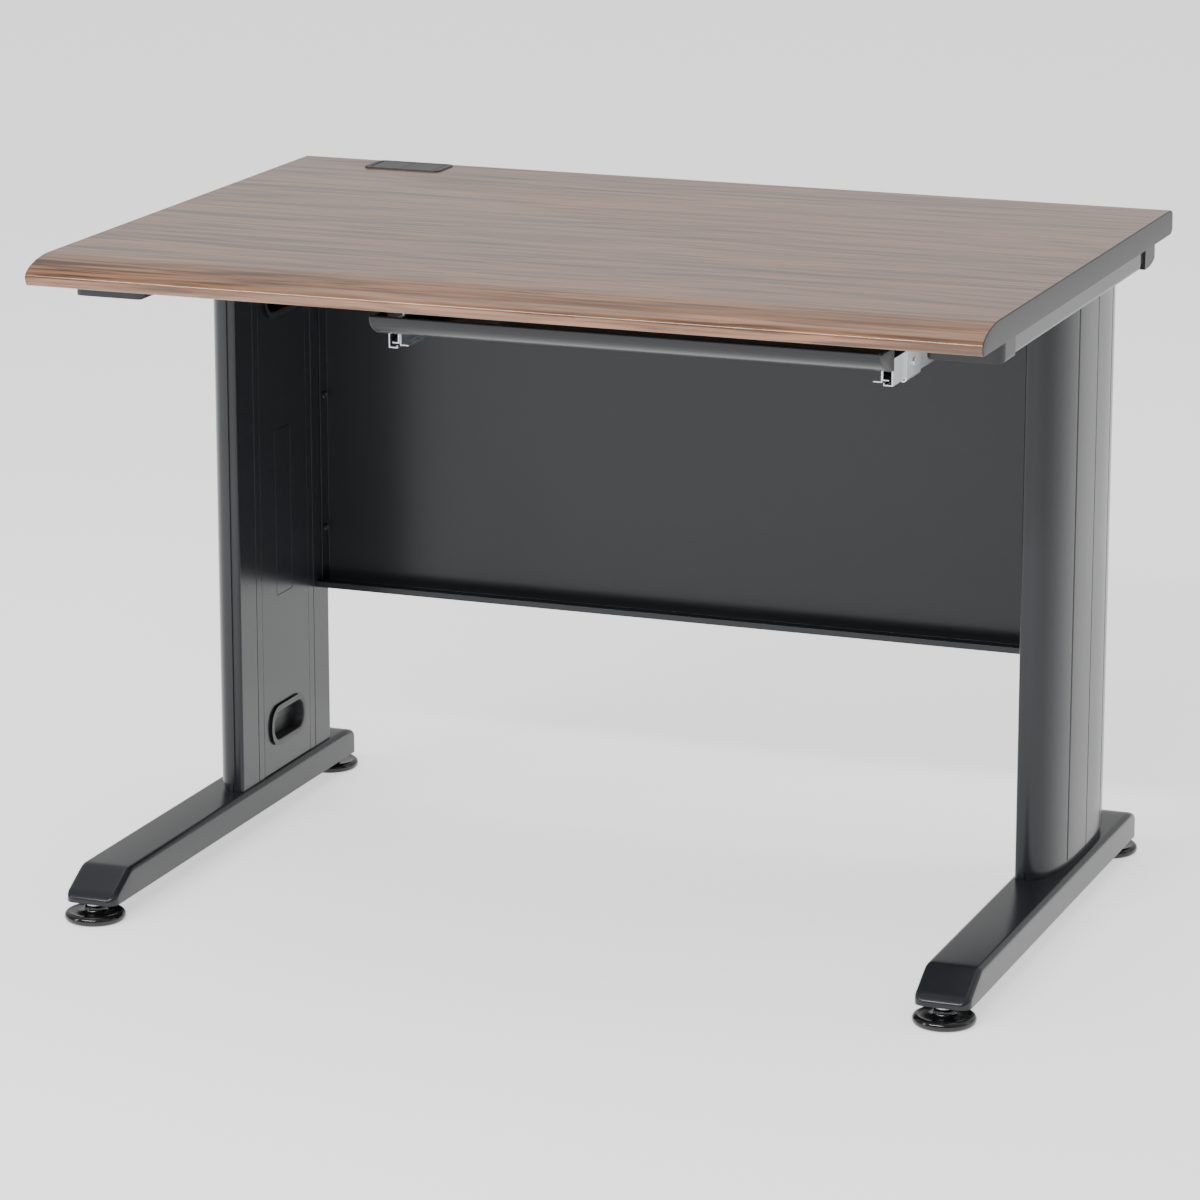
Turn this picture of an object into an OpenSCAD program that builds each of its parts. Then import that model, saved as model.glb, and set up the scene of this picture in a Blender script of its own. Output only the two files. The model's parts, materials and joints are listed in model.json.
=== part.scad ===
// Computer desk with a pull-out keyboard tray.
// Origin: on the floor, under the middle of the desk. +X right, +Y to the back, +Z up. Millimetres.

/* [Desk] */
// Overall width of the top
desk_w = 1000; // [980:5:1100]
// Overall depth of the top
desk_d = 700; // [690:5:800]
// Height of the working surface above the floor
desk_h = 700; // [690:5:760]
// Thickness of the top
top_t = 26; // [24:1:32]
// Depth of the sloped, rounded front of the top
nose_d = 50; // [30:1:60]
// Height from the working surface down to the foremost point of the front
nose_h = 17; // [14:1:18]
// Thickness of the edge banding
band_t = 1.2; // [0.8:0.1:2]

/* [Legs] */
// Distance from the middle of the desk to the flat inner face of a leg
leg_in = 437.9; // [430:0.1:445]
// Middle of the leg, front to back
leg_mid = 128.5; // [110:0.5:140]
// Half the depth of the bowed outer shell
shell_a = 121; // [110:1:125]
// How far the bowed shell stands out from its centre line
shell_b = 36.5; // [30:0.5:40]
// Squareness of the bowed shell, 2 is an ellipse
shell_n = 2.7; // [2.2:0.1:3.5]
// Sheet thickness of the leg
leg_t = 1.5; // [1:0.1:2]

/* [Base and arms] */
// Distance from the middle of the desk to the middle of a base beam
beam_x = 461; // [455:1:465]
// Width of a base beam
beam_w = 58; // [50:1:64]
// Height of the top of a base beam above the floor
beam_top = 51; // [48:1:56]
// Height of the underside of a base beam above the floor
beam_low = 19.5; // [18:0.5:26]
// Front end of a base beam
beam_front = -322; // [-330:1:-310]
// Rear end of a base beam
beam_rear = 308; // [300:1:320]
// Distance from the middle of the desk to the middle of a top arm
arm_x = 453.4; // [450:0.1:456]
// Width of a top arm
arm_w = 76.8; // [70:0.1:80]
// Height of a top arm
arm_h = 24; // [22:0.5:28]

/* [Feet] */
// Radius of a levelling pad
pad_r = 32; // [25:1:34]
// Distance of the front feet in front of the middle of the desk
foot_front = -308; // [-312:1:-290]
// Distance of the rear feet behind the middle of the desk
foot_rear = 296; // [280:1:298]
// Radius of the threaded stem
stem_r = 5; // [4:0.5:5]

/* [Keyboard tray] */
// Middle of the tray, which hangs right of the middle of the desk
tray_x = 115; // [100:1:118]
// Half the width of the tray's front
tray_half = 266; // [262:1:268]
// Front of the tray when it is pushed in
tray_front = -290; // [-300:1:-280]
// Height of the underside of the tray's floor
tray_z = 632; // [630:1:636]
// Height of the curved front of the tray
lip_h = 24; // [20:1:26]
// Depth of the curved front of the tray
lip_d = 50; // [40:1:55]
// Length of the slides
slide_len = 350; // [300:10:360]

/* [Cable outlet] */
// Middle of the cable outlet, left to right
outlet_x = -362.5; // [-380:0.5:-340]
// Middle of the cable outlet, front to back
outlet_y = 311.5; // [300:0.5:312]
// Width of the outlet's frame
outlet_w = 91; // [80:1:100]
// Depth of the outlet's frame
outlet_d = 50; // [44:1:52]

/* [Hidden] */
$fn = 48;

steel_grey = "#3b3c40";
abs_grey = "#45464a";
walnut = "#6e4d3a";
zinc = "#c3c6c8";
black = "#17171a";

under = desk_h - top_t;          // underside of the top
front_y = -desk_d / 2;
rear_y = desk_d / 2;
half_w = desk_w / 2;
gap = 0.3;                       // clearance between pieces that move past each other
bore_gap = 0.05;                 // clearance round a screw, stem or pin

// ---------- helpers ----------

// A box from its low corner to its high corner
module box(low, high) {
    translate(low) cube(high - low);
}

// A rectangle with true round corners, centred
module round_rect(w, d, r) {
    square([w - 2 * r, d], center = true);
    square([w, d - 2 * r], center = true);
    for (x = [-1, 1], y = [-1, 1])
        translate([x * (w / 2 - r), y * (d / 2 - r)]) circle(r);
}

// An outline drawn in (y, z), carried along X from x0 to x1
module along_x(x0, x1) {
    translate([x0, 0, 0]) rotate([90, 0, 90]) linear_extrude(x1 - x0) children();
}

// An outline drawn in (x, z), carried along Y from y0 to y1
module along_y(y0, y1) {
    translate([0, y1, 0]) rotate([90, 0, 0]) linear_extrude(y1 - y0) children();
}

// The mirror image across the middle of the desk
module left() {
    mirror([1, 0, 0]) children();
}

// The left half of the tray, mirrored across the tray's own middle
module tray_side(s) {
    translate([tray_x, 0, 0]) mirror([s < 0 ? 1 : 0, 0, 0]) children();
}

// ---------- top ----------

// Drop of the front below the working surface, s = 0 at the crease and 1 at the nose
function nose_drop(s) = 2.5 * s + (nose_h - 2.5) * (1 - sqrt(1 - s * s));
nose_under = 4.5;                // set-back of the lower edge under the nose
rear_r = 10;                     // rounding of the rear edge
nose_steps = 14;

// Cross-section of the top, front to back
function top_outline() = concat(
    [for (i = [0:nose_steps]) let (s = sin(90 * i / nose_steps))
        [front_y + nose_d * (1 - s), desk_h - nose_drop(s)]],
    [for (i = [1:5]) let (a = 90 * i / 5)
        [front_y + nose_under * (1 - cos(a)), desk_h - nose_h - (top_t - nose_h) * sin(a)]],
    [for (i = [0:7]) let (a = 90 * i / 7)
        [rear_y - rear_r + rear_r * sin(a), under + rear_r - rear_r * cos(a)]],
    [for (i = [0:7]) let (a = 90 * i / 7)
        [rear_y - rear_r + rear_r * cos(a), desk_h - rear_r + rear_r * sin(a)]]);

corner_r = 1;                    // rear corners of the top in plan

module top_blank() {
    intersection() {
        along_x(-half_w, half_w) polygon(top_outline());
        union() {
            box([-half_w, front_y - 1, under - 1], [half_w, rear_y - corner_r, desk_h + 1]);
            box([corner_r - half_w, 0, under - 1], [half_w - corner_r, rear_y, desk_h + 1]);
            for (s = [-1, 1])
                translate([s * (half_w - corner_r), rear_y - corner_r, under - 1])
                    cylinder(r = corner_r, h = top_t + 2);
        }
    }
}

screw_r = 2;                     // shank of the wood screws
screw_up = 16;                   // how far they go into the board
arm_screw_y = [-185, -40, 105, 225];
arm_screw_x = [arm_x - 29, arm_x + 29];
bracket_y = [-205, 50];          // front ends of the slide brackets
bracket_d = 45;
bracket_screw_s = 278;           // from the middle of the tray
modesty_screw_x = [-300, 0, 300];
modesty_y = 246;
top_flange_y = modesty_y - 12;

// Everywhere a wood screw goes up into the board
module at_board_screws() {
    at_arm_screws() children();
    at_bracket_screws() children();
    for (x = modesty_screw_x)
        translate([x, top_flange_y, under]) children();
}

module at_arm_screws() {
    for (s = [-1, 1], x = arm_screw_x, y = arm_screw_y)
        translate([s * x, y, under]) children();
}

module at_bracket_screws() {
    for (s = [-1, 1], y = bracket_y, e = [10, bracket_d - 10])
        translate([tray_x + s * bracket_screw_s, y + e, under]) children();
}

module outlet_hole() {
    translate([outlet_x, outlet_y, under - 1]) linear_extrude(top_t + 2)
        round_rect(outlet_w - 7, outlet_d - 7, 7);
}

module tabletop_board() {
    color(walnut) difference() {
        intersection() {
            top_blank();
            box([band_t - half_w, front_y - 1, under - 1], [half_w - band_t, rear_y - band_t, desk_h + 1]);
        }
        outlet_hole();
        at_board_screws() translate([0, 0, -1]) cylinder(r = screw_r + bore_gap, h = screw_up + 2);
    }
}

module edge_band_right() {
    color(abs_grey) intersection() {
        top_blank();
        box([half_w - band_t, front_y - 1, under - 1], [half_w + 1, rear_y + 1, desk_h + 1]);
    }
}

module edge_band_left() {
    left() edge_band_right();
}

module edge_band_rear() {
    color(abs_grey) intersection() {
        top_blank();
        box([band_t - half_w, rear_y - band_t, under - 1], [half_w - band_t, rear_y + 1, desk_h + 1]);
    }
}

// ---------- arms under the top ----------

arm_low = under - arm_h;
arm_front = -216;
arm_rear = 250;
arm_t = 2;                       // sheet thickness of an arm
arm_flange = 16;
arm_r = 5;                       // rounding of the lower edges
bolt_r = 4;
leg_bolt_y = [leg_mid - 75, leg_mid, leg_mid + 75];
bolt_x = 463;

module arm_section(inset) {
    w = arm_w - 2 * inset;
    h = arm_h - inset;
    translate([arm_x, under]) {
        translate([-w / 2, -h + arm_r]) square([w, h - arm_r]);
        translate([-w / 2 + arm_r, -h]) square([w - 2 * arm_r, arm_r]);
        for (s = [-1, 1])
            translate([s * (w / 2 - arm_r), -h + arm_r]) circle(arm_r);
    }
}

// A steel channel, open at the top between two inward flanges
module top_arm_right() {
    color(steel_grey) difference() {
        along_y(arm_front, arm_rear) arm_section(0);
        along_y(arm_front - 1, arm_rear + 1) difference() {
            arm_section(arm_t);
            translate([arm_x - arm_w / 2, under - arm_t]) square([arm_w, arm_t + 1]);
        }
        box([arm_x - arm_w / 2 + arm_flange, arm_front - 1, under - arm_t - 1],
            [arm_x + arm_w / 2 - arm_flange, arm_rear + 1, under + 1]);
        for (x = arm_screw_x, y = arm_screw_y)
            translate([x, y, under - arm_t - 1]) cylinder(r = screw_r + 0.2, h = arm_t + 2);
        for (y = leg_bolt_y)
            translate([bolt_x, y, arm_low - 1]) cylinder(r = bolt_r + 0.2, h = arm_t + 2);
    }
}

module top_arm_left() {
    left() top_arm_right();
}

cap_front_y = -257;
cap_rear_y = 311;
cap_skirt = 1.5;                 // the cap hangs this far below the arm
cap_r = 9;
plug_in = 14;                    // length of the plug inside the arm

module arm_plug() {
    difference() {
        arm_section(arm_t + gap);
        translate([arm_x - arm_w / 2, under - arm_t - gap]) square([arm_w, arm_t + 1]);
    }
}

// Plastic cap over the front end of an arm, with a plug that goes into the steel
module arm_cap_front_right() {
    color(abs_grey) union() {
        intersection() {
            translate([arm_x, cap_front_y + 40, arm_low - cap_skirt])
                linear_extrude(arm_h + cap_skirt) round_rect(arm_w + 1.4, 80, cap_r);
            along_y(cap_front_y, arm_front - 0.1) union() {
                arm_section(-0.7);
                translate([arm_x, under - arm_h / 2 - cap_skirt / 2])
                    round_rect(arm_w + 1.4, arm_h + cap_skirt, 4);
            }
        }
        along_y(arm_front - 1, arm_front + plug_in) arm_plug();
    }
}

module arm_cap_front_left() {
    left() arm_cap_front_right();
}

neck_y = 267;                    // the rear cap starts behind a sunken neck
cut_y = 275;                     // its lower rear corner is cut back from here
cut_h = 13;

// Side view of the rear cap, its lower rear corner cut back
function rear_cap_outline() = concat(
    [[neck_y, under], [neck_y, arm_low - cap_skirt], [cut_y, arm_low - cap_skirt]],
    [for (i = [0:6]) let (a = 90 * i / 6)
        [cut_y + (cap_rear_y - cut_y) * sin(a), arm_low - cap_skirt + cut_h * (1 - cos(a))]],
    [[cap_rear_y, under]]);

module arm_cap_rear_right() {
    color(abs_grey) union() {
        intersection() {
            along_x(arm_x - arm_w / 2 - 0.7, arm_x + arm_w / 2 + 0.7) polygon(rear_cap_outline());
            translate([arm_x, cap_rear_y - 40, arm_low - cap_skirt])
                linear_extrude(arm_h + cap_skirt) round_rect(arm_w + 1.4, 80, 6);
        }
        along_y(arm_rear - plug_in, neck_y + 1) arm_plug();
    }
}

module arm_cap_rear_left() {
    left() arm_cap_rear_right();
}

// ---------- legs ----------

shell_x = 445;                   // centre line of the bowed shell
shell_in = 447;                  // its two edges
shell_low = beam_top + 8;
leg_high = arm_low;
leg_far = 119.2;                 // half the depth of the inner half of the leg
return_x = 449;                  // where its front and rear returns end, inside the shell
bow_steps = 36;

// Bowed outline: a superellipse from the front edge round the outside to the rear edge
function bow(a, b, x_in) = concat(
    [[x_in, leg_mid - a]],
    [for (i = [0:bow_steps]) let (t = 180 * i / bow_steps, c = cos(t))
        [shell_x + b * pow(max(sin(t), 0), 2 / shell_n),
         leg_mid - a * sign(c) * pow(abs(c), 2 / shell_n)]],
    [[x_in, leg_mid + a]]);

// Distance the bow stands out at a place along it
function bow_x(y, b = shell_b) =
    shell_x + b * pow(1 - pow(abs(y - leg_mid) / shell_a, shell_n), 1 / shell_n);

seam_w = 1.4;
bead_w = 2;
bead_off = 63;

// Outer half of the leg: a bowed sheet with a seam down the middle and a bead each side
module leg_shell_right() {
    color(steel_grey) difference() {
        translate([0, 0, shell_low]) linear_extrude(leg_high - shell_low) difference() {
            polygon(bow(shell_a, shell_b, shell_x - 1));
            polygon(bow(shell_a - leg_t, shell_b - leg_t, shell_x - 2));
            translate([shell_x - 3, 0]) square([shell_in - shell_x + 3, rear_y]);
        }
        box([bow_x(leg_mid) - 0.8, leg_mid - seam_w / 2, 0], [half_w, leg_mid + seam_w / 2, desk_h]);
        for (s = [-1, 1])
            box([bow_x(leg_mid + s * bead_off) - 0.6, leg_mid + s * bead_off - bead_w / 2, 0],
                [half_w, leg_mid + s * bead_off + bead_w / 2, desk_h]);
    }
}

module leg_shell_left() {
    left() leg_shell_right();
}

cover_half = 61.6;               // half the width of the cable cover
groove_off = 75.7;               // second groove, from the middle of the leg
groove_w = 1.3;
ledge_x = leg_in + leg_t;        // the cover closes onto a ledge behind the face
duct_half = 55;
ledge_w = 14;
duct_low = 72;
duct_high = 610;
hinge_z = 640.5;
hinge_x = leg_in + 0.7;
eye_y = [leg_mid - 45, leg_mid + 45];
eye_w = 15;
pin_r = 1.5;
cover_high = 634.5;
lug_low = cover_high + 2.5;
modesty_side_y = 237;
modesty_side_z = [298, 450, 600];

// Inner half of the leg: two face strips, their front and rear returns, and the ledges behind the cover
module leg_channel_right() {
    color(steel_grey) difference() {
        union() {
            translate([0, 0, beam_top]) linear_extrude(leg_high - beam_top) {
                for (s = [-1, 1]) translate([0, leg_mid]) mirror([0, s < 0 ? 1 : 0]) channel_section();
            }
            box([ledge_x, leg_mid - cover_half, beam_top], [ledge_x + leg_t, leg_mid + cover_half, duct_low]);
            box([ledge_x, leg_mid - cover_half, duct_high],
                [ledge_x + leg_t, leg_mid + cover_half, cover_high - 2]);
            for (y = eye_y, s = [-1, 1])
                box([hinge_x - 2.6, y + s * (eye_w / 2 + 2) - 1.5, duct_high + 10],
                    [ledge_x + leg_t, y + s * (eye_w / 2 + 2) + 1.5, leg_high]);
        }
        for (y = eye_y)
            translate([hinge_x, y - 20, hinge_z]) rotate([-90, 0, 0]) cylinder(r = pin_r + 0.02, h = 40);
        for (y = [leg_mid - groove_off, leg_mid + groove_off])
            box([leg_in - 1, y - groove_w / 2, 0], [leg_in + 0.7, y + groove_w / 2, desk_h]);
        for (z = modesty_side_z)
            translate([leg_in - 1, modesty_side_y, z]) rotate([0, 90, 0])
                cylinder(r = screw_r + bore_gap, h = 5);
        // the hinge lugs stand in front of the face only above the cover
        box([leg_in - 5, leg_mid - 60, duct_high], [leg_in + 1.5, leg_mid + 60, lug_low]);
    }
}

// One face strip with its rounded edge, its return and the ledge, from the middle of the leg towards +Y
module channel_section() {
    edge_r = 4;
    difference() {
        union() {
            translate([leg_in, cover_half]) square([leg_t, leg_far - cover_half - edge_r]);
            translate([leg_in + edge_r, leg_far - leg_t]) square([return_x - leg_in - edge_r, leg_t]);
            translate([leg_in + edge_r, leg_far - edge_r]) circle(edge_r);
        }
        translate([leg_in + leg_t, leg_far - leg_t - 20]) square([20, 20]);
    }
    translate([ledge_x, duct_half]) square([leg_t, ledge_w]);
}

module leg_channel_left() {
    left() leg_channel_right();
}

cover_t = 1.2;
cover_low = beam_top + 0.8;
pull_z = 103;
pull_w = 92;
pull_h = 46;
pull_r = 21;
port_z = 585;
hatch_y = [leg_mid - 22, leg_mid + 18.5];
hatch_z = [250.5, 436];

// The outline of the finger pull and of the port, standing in the YZ plane
module on_cover(z, x0, x1) {
    translate([x0, leg_mid, z]) rotate([90, 0, 90]) linear_extrude(x1 - x0) children();
}

// Cable cover: a sheet that swings inwards about its top edge
module leg_cover_right() {
    color(steel_grey) difference() {
        union() {
            box([leg_in, leg_mid - cover_half + 0.5, cover_low],
                [leg_in + cover_t, leg_mid + cover_half - 0.5, cover_high]);
            for (y = eye_y) {
                translate([hinge_x, y - eye_w / 2, hinge_z]) rotate([-90, 0, 0])
                    cylinder(r = 3.4, h = eye_w);
                box([leg_in, y - eye_w / 2, cover_high - 1], [leg_in + cover_t, y + eye_w / 2, hinge_z]);
            }
        }
        for (y = eye_y)
            translate([hinge_x, y - eye_w, hinge_z]) rotate([-90, 0, 0])
                cylinder(r = pin_r + bore_gap, h = 2 * eye_w);
        on_cover(pull_z, leg_in - 1, leg_in + 3) round_rect(pull_w - 8, pull_h - 8, pull_r - 4);
        on_cover(port_z, leg_in - 1, leg_in + 3) round_rect(pull_w - 8, pull_h - 8, pull_r - 4);
        for (z = hatch_z)
            box([leg_in - 1, hatch_y[0], z - 0.4], [leg_in + 0.4, hatch_y[1], z + 0.4]);
        for (y = hatch_y)
            box([leg_in - 1, y - 0.4, hatch_z[0]], [leg_in + 0.4, y + 0.4, hatch_z[1]]);
    }
}

module leg_cover_left() {
    left() leg_cover_right();
}

bezel_x = leg_in - 2.6;

// A rounded bezel with a sleeve through the cover
module bezel(z, depth) {
    on_cover(z, bezel_x, leg_in) round_rect(pull_w, pull_h, pull_r);
    on_cover(z, leg_in, leg_in + depth) round_rect(pull_w - 8.4, pull_h - 8.4, pull_r - 4.2);
}

// Cup that the fingers hook into, with a sloping lip inside its lower half
module finger_pull_right() {
    color(black) union() {
        difference() {
            bezel(pull_z, 14);
            on_cover(pull_z, bezel_x - 1, leg_in + 12.6) round_rect(pull_w - 14, pull_h - 14, pull_r - 7);
        }
        intersection() {
            on_cover(pull_z, leg_in, leg_in + 13) round_rect(pull_w - 13, pull_h - 13, pull_r - 6.5);
            along_y(leg_mid - 60, leg_mid + 60)
                polygon([[leg_in + 4, pull_z - 20], [leg_in + 13, pull_z + 4], [leg_in + 13, pull_z - 20]]);
        }
    }
}

module finger_pull_left() {
    left() finger_pull_right();
}

// Ring round the hole where cables go into the leg
module cable_port_right() {
    color(black) difference() {
        bezel(port_z, 6);
        on_cover(port_z, bezel_x - 1, leg_in + 8) round_rect(pull_w - 14, pull_h - 14, pull_r - 7);
    }
}

module cable_port_left() {
    left() cable_port_right();
}

module cover_hinge_pins() {
    color(zinc) for (s = [-1, 1], y = eye_y)
        translate([s * hinge_x, y - eye_w / 2 - 3.4, hinge_z]) rotate([-90, 0, 0])
            cylinder(r = pin_r, h = eye_w + 6.8);
}

plate_in = ledge_x + leg_t + gap;
plate_notch = 4;                 // clears the returns of the inner half at the plate's corners

// Thick plate that ties the leg to the base beam
module leg_base_plate_right() {
    color(steel_grey) difference() {
        translate([0, 0, beam_top]) linear_extrude(shell_low - beam_top) intersection() {
            polygon(bow(shell_a - 2, shell_b - 2, shell_x - 5));
            translate([plate_in, 0]) square([60, rear_y]);
        }
        for (y = leg_bolt_y) translate([bolt_x, y, beam_top - 1]) cylinder(r = bolt_r + bore_gap, h = 12);
        for (s = [-1, 1])
            box([leg_in, leg_mid + s * leg_far - plate_notch, beam_top - 1],
                [return_x + 1, leg_mid + s * leg_far + plate_notch, shell_low + 1]);
    }
}

module leg_base_plate_left() {
    left() leg_base_plate_right();
}

top_plate_t = 5;

// Plate inside the head of the leg that the arm is bolted to
module leg_top_plate_right() {
    color(steel_grey) difference() {
        translate([0, 0, leg_high - top_plate_t]) linear_extrude(top_plate_t) intersection() {
            polygon(bow(shell_a - leg_t - 3, shell_b - leg_t - 0.3, shell_x));
            translate([return_x + 1, 0]) square([60, rear_y]);
        }
        for (y = leg_bolt_y)
            translate([bolt_x, y, leg_high - 10]) cylinder(r = bolt_r + bore_gap, h = 12);
    }
}

module leg_top_plate_left() {
    left() leg_top_plate_right();
}

// ---------- base beams ----------

beam_t = 2;
slope_front = -281;              // where the top of the beam starts to fall, in front and behind
slope_rear = 286;

// Side view of a beam: a long slope down to a low blunt tip in front, a short slope behind
function beam_outline(inset) = [
    [beam_front + inset, beam_low - (inset > 0 ? 5 : 0)],
    [beam_front + inset, beam_low + 7 - inset * 0.6],
    [beam_front + 2 + inset, beam_low + 10 - inset * 0.8],
    [slope_front, beam_top - inset],
    [slope_rear, beam_top - inset],
    [beam_rear - 3 - inset, beam_top - 8 - inset],
    [beam_rear - inset, beam_top - 12 - inset],
    [beam_rear - inset, beam_low - (inset > 0 ? 5 : 0)]
];

module beam_body(inset, r_edge, r_plan) {
    w = beam_w - 2 * inset;
    len = beam_rear - beam_front - 2 * inset;
    mid_y = (beam_rear + beam_front) / 2;
    intersection() {
        along_x(beam_x - w / 2, beam_x + w / 2) polygon(beam_outline(inset));
        translate([beam_x, mid_y, 0]) linear_extrude(beam_top + 1) round_rect(w, len, r_plan);
        along_y(beam_front, beam_rear) translate([beam_x, beam_top - inset - 30])
            round_rect(w, 60, r_edge);
    }
}

// Steel foot, open underneath
module base_beam_right() {
    color(steel_grey) difference() {
        beam_body(0, 6, 8);
        beam_body(beam_t, 4, 6);
        for (y = leg_bolt_y) translate([bolt_x, y, beam_top - 5]) cylinder(r = bolt_r + 0.2, h = 12);
    }
}

module base_beam_left() {
    left() base_beam_right();
}

// ---------- levelling feet ----------

insert_low = beam_low - 3;
insert_r = 9;
stem_low = 3.2;
stem_top_front = 29;             // the slope of the beam leaves less room in front
stem_top_rear = 41;

// A threaded bush welded inside the beam, its top cut to the slope of the steel
module insert(y) {
    difference() {
        intersection() {
            translate([beam_x, y, insert_low]) cylinder(r = insert_r, h = beam_top - insert_low);
            beam_body(beam_t, 4, 6);
        }
        translate([beam_x, y, 0]) cylinder(r = stem_r + bore_gap, h = beam_top);
    }
}

module level_inserts() {
    color(zinc) for (m = [0, 1], y = [foot_front, foot_rear]) mirror([m, 0, 0]) insert(y);
}

module stem(s, y) {
    top = y < 0 ? stem_top_front : stem_top_rear;
    color(zinc) translate([s * beam_x, y, stem_low]) cylinder(r = stem_r, h = top - stem_low);
}

// Round pad: flat underneath, a rounded rim and a cone up to the stem
module pad(s, y) {
    rim = 10;
    color(black) translate([s * beam_x, y, 0]) difference() {
        rotate_extrude($fn = 96) polygon(concat(
            [[0, 0], [pad_r - 4, 0]],
            [for (i = [0:6]) let (a = -90 + 90 * i / 6) [pad_r - 4 + 4 * cos(a), 4 + 4 * sin(a)]],
            [for (i = [0:6]) let (a = 90 * i / 6) [pad_r - 5 + 5 * cos(a), rim - 5 + 5 * sin(a)]],
            [[15, rim + 1.5], [11, rim + 5], [0, rim + 5]]));
        translate([0, 0, stem_low - 0.2]) cylinder(r = stem_r + bore_gap, h = 30);
    }
}

module level_stem_front_left() { stem(-1, foot_front); }
module level_stem_front_right() { stem(1, foot_front); }
module level_stem_rear_left() { stem(-1, foot_rear); }
module level_stem_rear_right() { stem(1, foot_rear); }
module level_pad_front_left() { pad(-1, foot_front); }
module level_pad_front_right() { pad(1, foot_front); }
module level_pad_rear_left() { pad(-1, foot_rear); }
module level_pad_rear_right() { pad(1, foot_rear); }

// ---------- modesty panel ----------

sheet = 1.2;
modesty_low = 234.8;
modesty_half = leg_in - 0.2;
modesty_notch = arm_low - 1;
side_flange = 19;
top_flange = 24;
shelf_d = 33;                    // the bottom edge folds forward into a shelf with a small lip
shelf_lip = 6.5;
arm_clear = arm_x - arm_w / 2 - 1.5;

// Back panel between the legs, with side flanges, a folded shelf along the bottom and a top flange
module modesty_panel() {
    color(steel_grey) difference() {
        union() {
            box([-modesty_half, modesty_y, modesty_low], [modesty_half, modesty_y + sheet, modesty_notch]);
            box([-arm_clear, modesty_y, modesty_notch - 1], [arm_clear, modesty_y + sheet, under]);
            for (s = [-1, 1]) translate([s * (modesty_half - sheet / 2), 0, 0])
                box([-sheet / 2, modesty_y - side_flange, modesty_low],
                    [sheet / 2, modesty_y + 0.5, modesty_notch]);
            box([-modesty_half, modesty_y - shelf_d, modesty_low],
                [modesty_half, modesty_y + 0.5, modesty_low + sheet]);
            box([-modesty_half, modesty_y - shelf_d, modesty_low],
                [modesty_half, modesty_y - shelf_d + sheet, modesty_low + shelf_lip]);
            box([-arm_clear, modesty_y - top_flange, under - sheet], [arm_clear, modesty_y + 0.5, under]);
        }
        for (s = [-1, 1], z = modesty_side_z)
            translate([s * modesty_half - 5, modesty_side_y, z]) rotate([0, 90, 0])
                cylinder(r = screw_r + 0.2, h = 10);
        for (x = modesty_screw_x)
            translate([x, top_flange_y, under - 5]) cylinder(r = screw_r + 0.2, h = 10);
    }
}

// ---------- cable outlet in the top ----------

lid_gap = 0.35;
flange_t = 1.6;
lid_w = (outlet_w - 14) / 2;
lid_d = outlet_d - 13;
lid_t = 1.8;
lid_top = desk_h + 1.4;
lid_pin_x = lid_w - 2;           // hinge, from the middle of the outlet
lid_pin_z = desk_h - 0.6;
lid_pin_r = 1;

module outlet_frame() {
    color(abs_grey) difference() {
        union() {
            translate([outlet_x, outlet_y, desk_h]) linear_extrude(flange_t)
                round_rect(outlet_w, outlet_d, 9);
            translate([outlet_x, outlet_y, desk_h - 18]) linear_extrude(18)
                round_rect(outlet_w - 7.4, outlet_d - 7.4, 6.8);
        }
        translate([outlet_x, outlet_y, desk_h - 20]) linear_extrude(30)
            round_rect(2 * (lid_w + lid_gap), lid_d + 2 * lid_gap, 0.8);
        for (s = [-1, 1])
            translate([outlet_x + s * lid_pin_x, outlet_y - lid_d / 2 - 2.2, lid_pin_z])
                rotate([-90, 0, 0]) cylinder(r = lid_pin_r + bore_gap, h = lid_d + 4.4);
    }
}

// One of the two flap lids, its outer end rounded about the pin it turns on
module outlet_lid_right() {
    color(abs_grey) translate([outlet_x, outlet_y, 0]) {
        translate([lid_gap, -lid_d / 2, lid_top - lid_t]) cube([lid_pin_x - lid_gap, lid_d, lid_t]);
        translate([lid_pin_x, -lid_d / 2, lid_pin_z]) rotate([-90, 0, 0])
            cylinder(r = lid_top - lid_pin_z, h = lid_d);
        translate([lid_pin_x, -lid_d / 2 - 1.9, lid_pin_z]) rotate([-90, 0, 0])
            cylinder(r = lid_pin_r, h = lid_d + 3.8);
    }
}

module outlet_lid_left() {
    translate([2 * outlet_x, 0, 0]) left() outlet_lid_right();
}

// ---------- keyboard tray ----------

lip_y = tray_front + lip_d;      // where the curved front meets the floor
lip_top = tray_z + lip_h;
pan_half = 251.2;                // half the width of the pan between the runners
pan_rear = -12;
slide_front = tray_front + 45;
slide_rear = slide_front + slide_len;
lip_steps = 10;

// Quarter ellipse of the curved front, from the floor up to the front edge
function lip_curve(in) = [for (i = [0:lip_steps]) let (a = 90 * i / lip_steps)
    [lip_y - (lip_d - in) * sin(a), lip_top - (lip_h - in) * cos(a)]];

function reversed(list) = [for (i = [len(list) - 1:-1:0]) list[i]];

module lip_sheet() {
    polygon(concat(lip_curve(0), reversed(lip_curve(sheet))));
}

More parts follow.
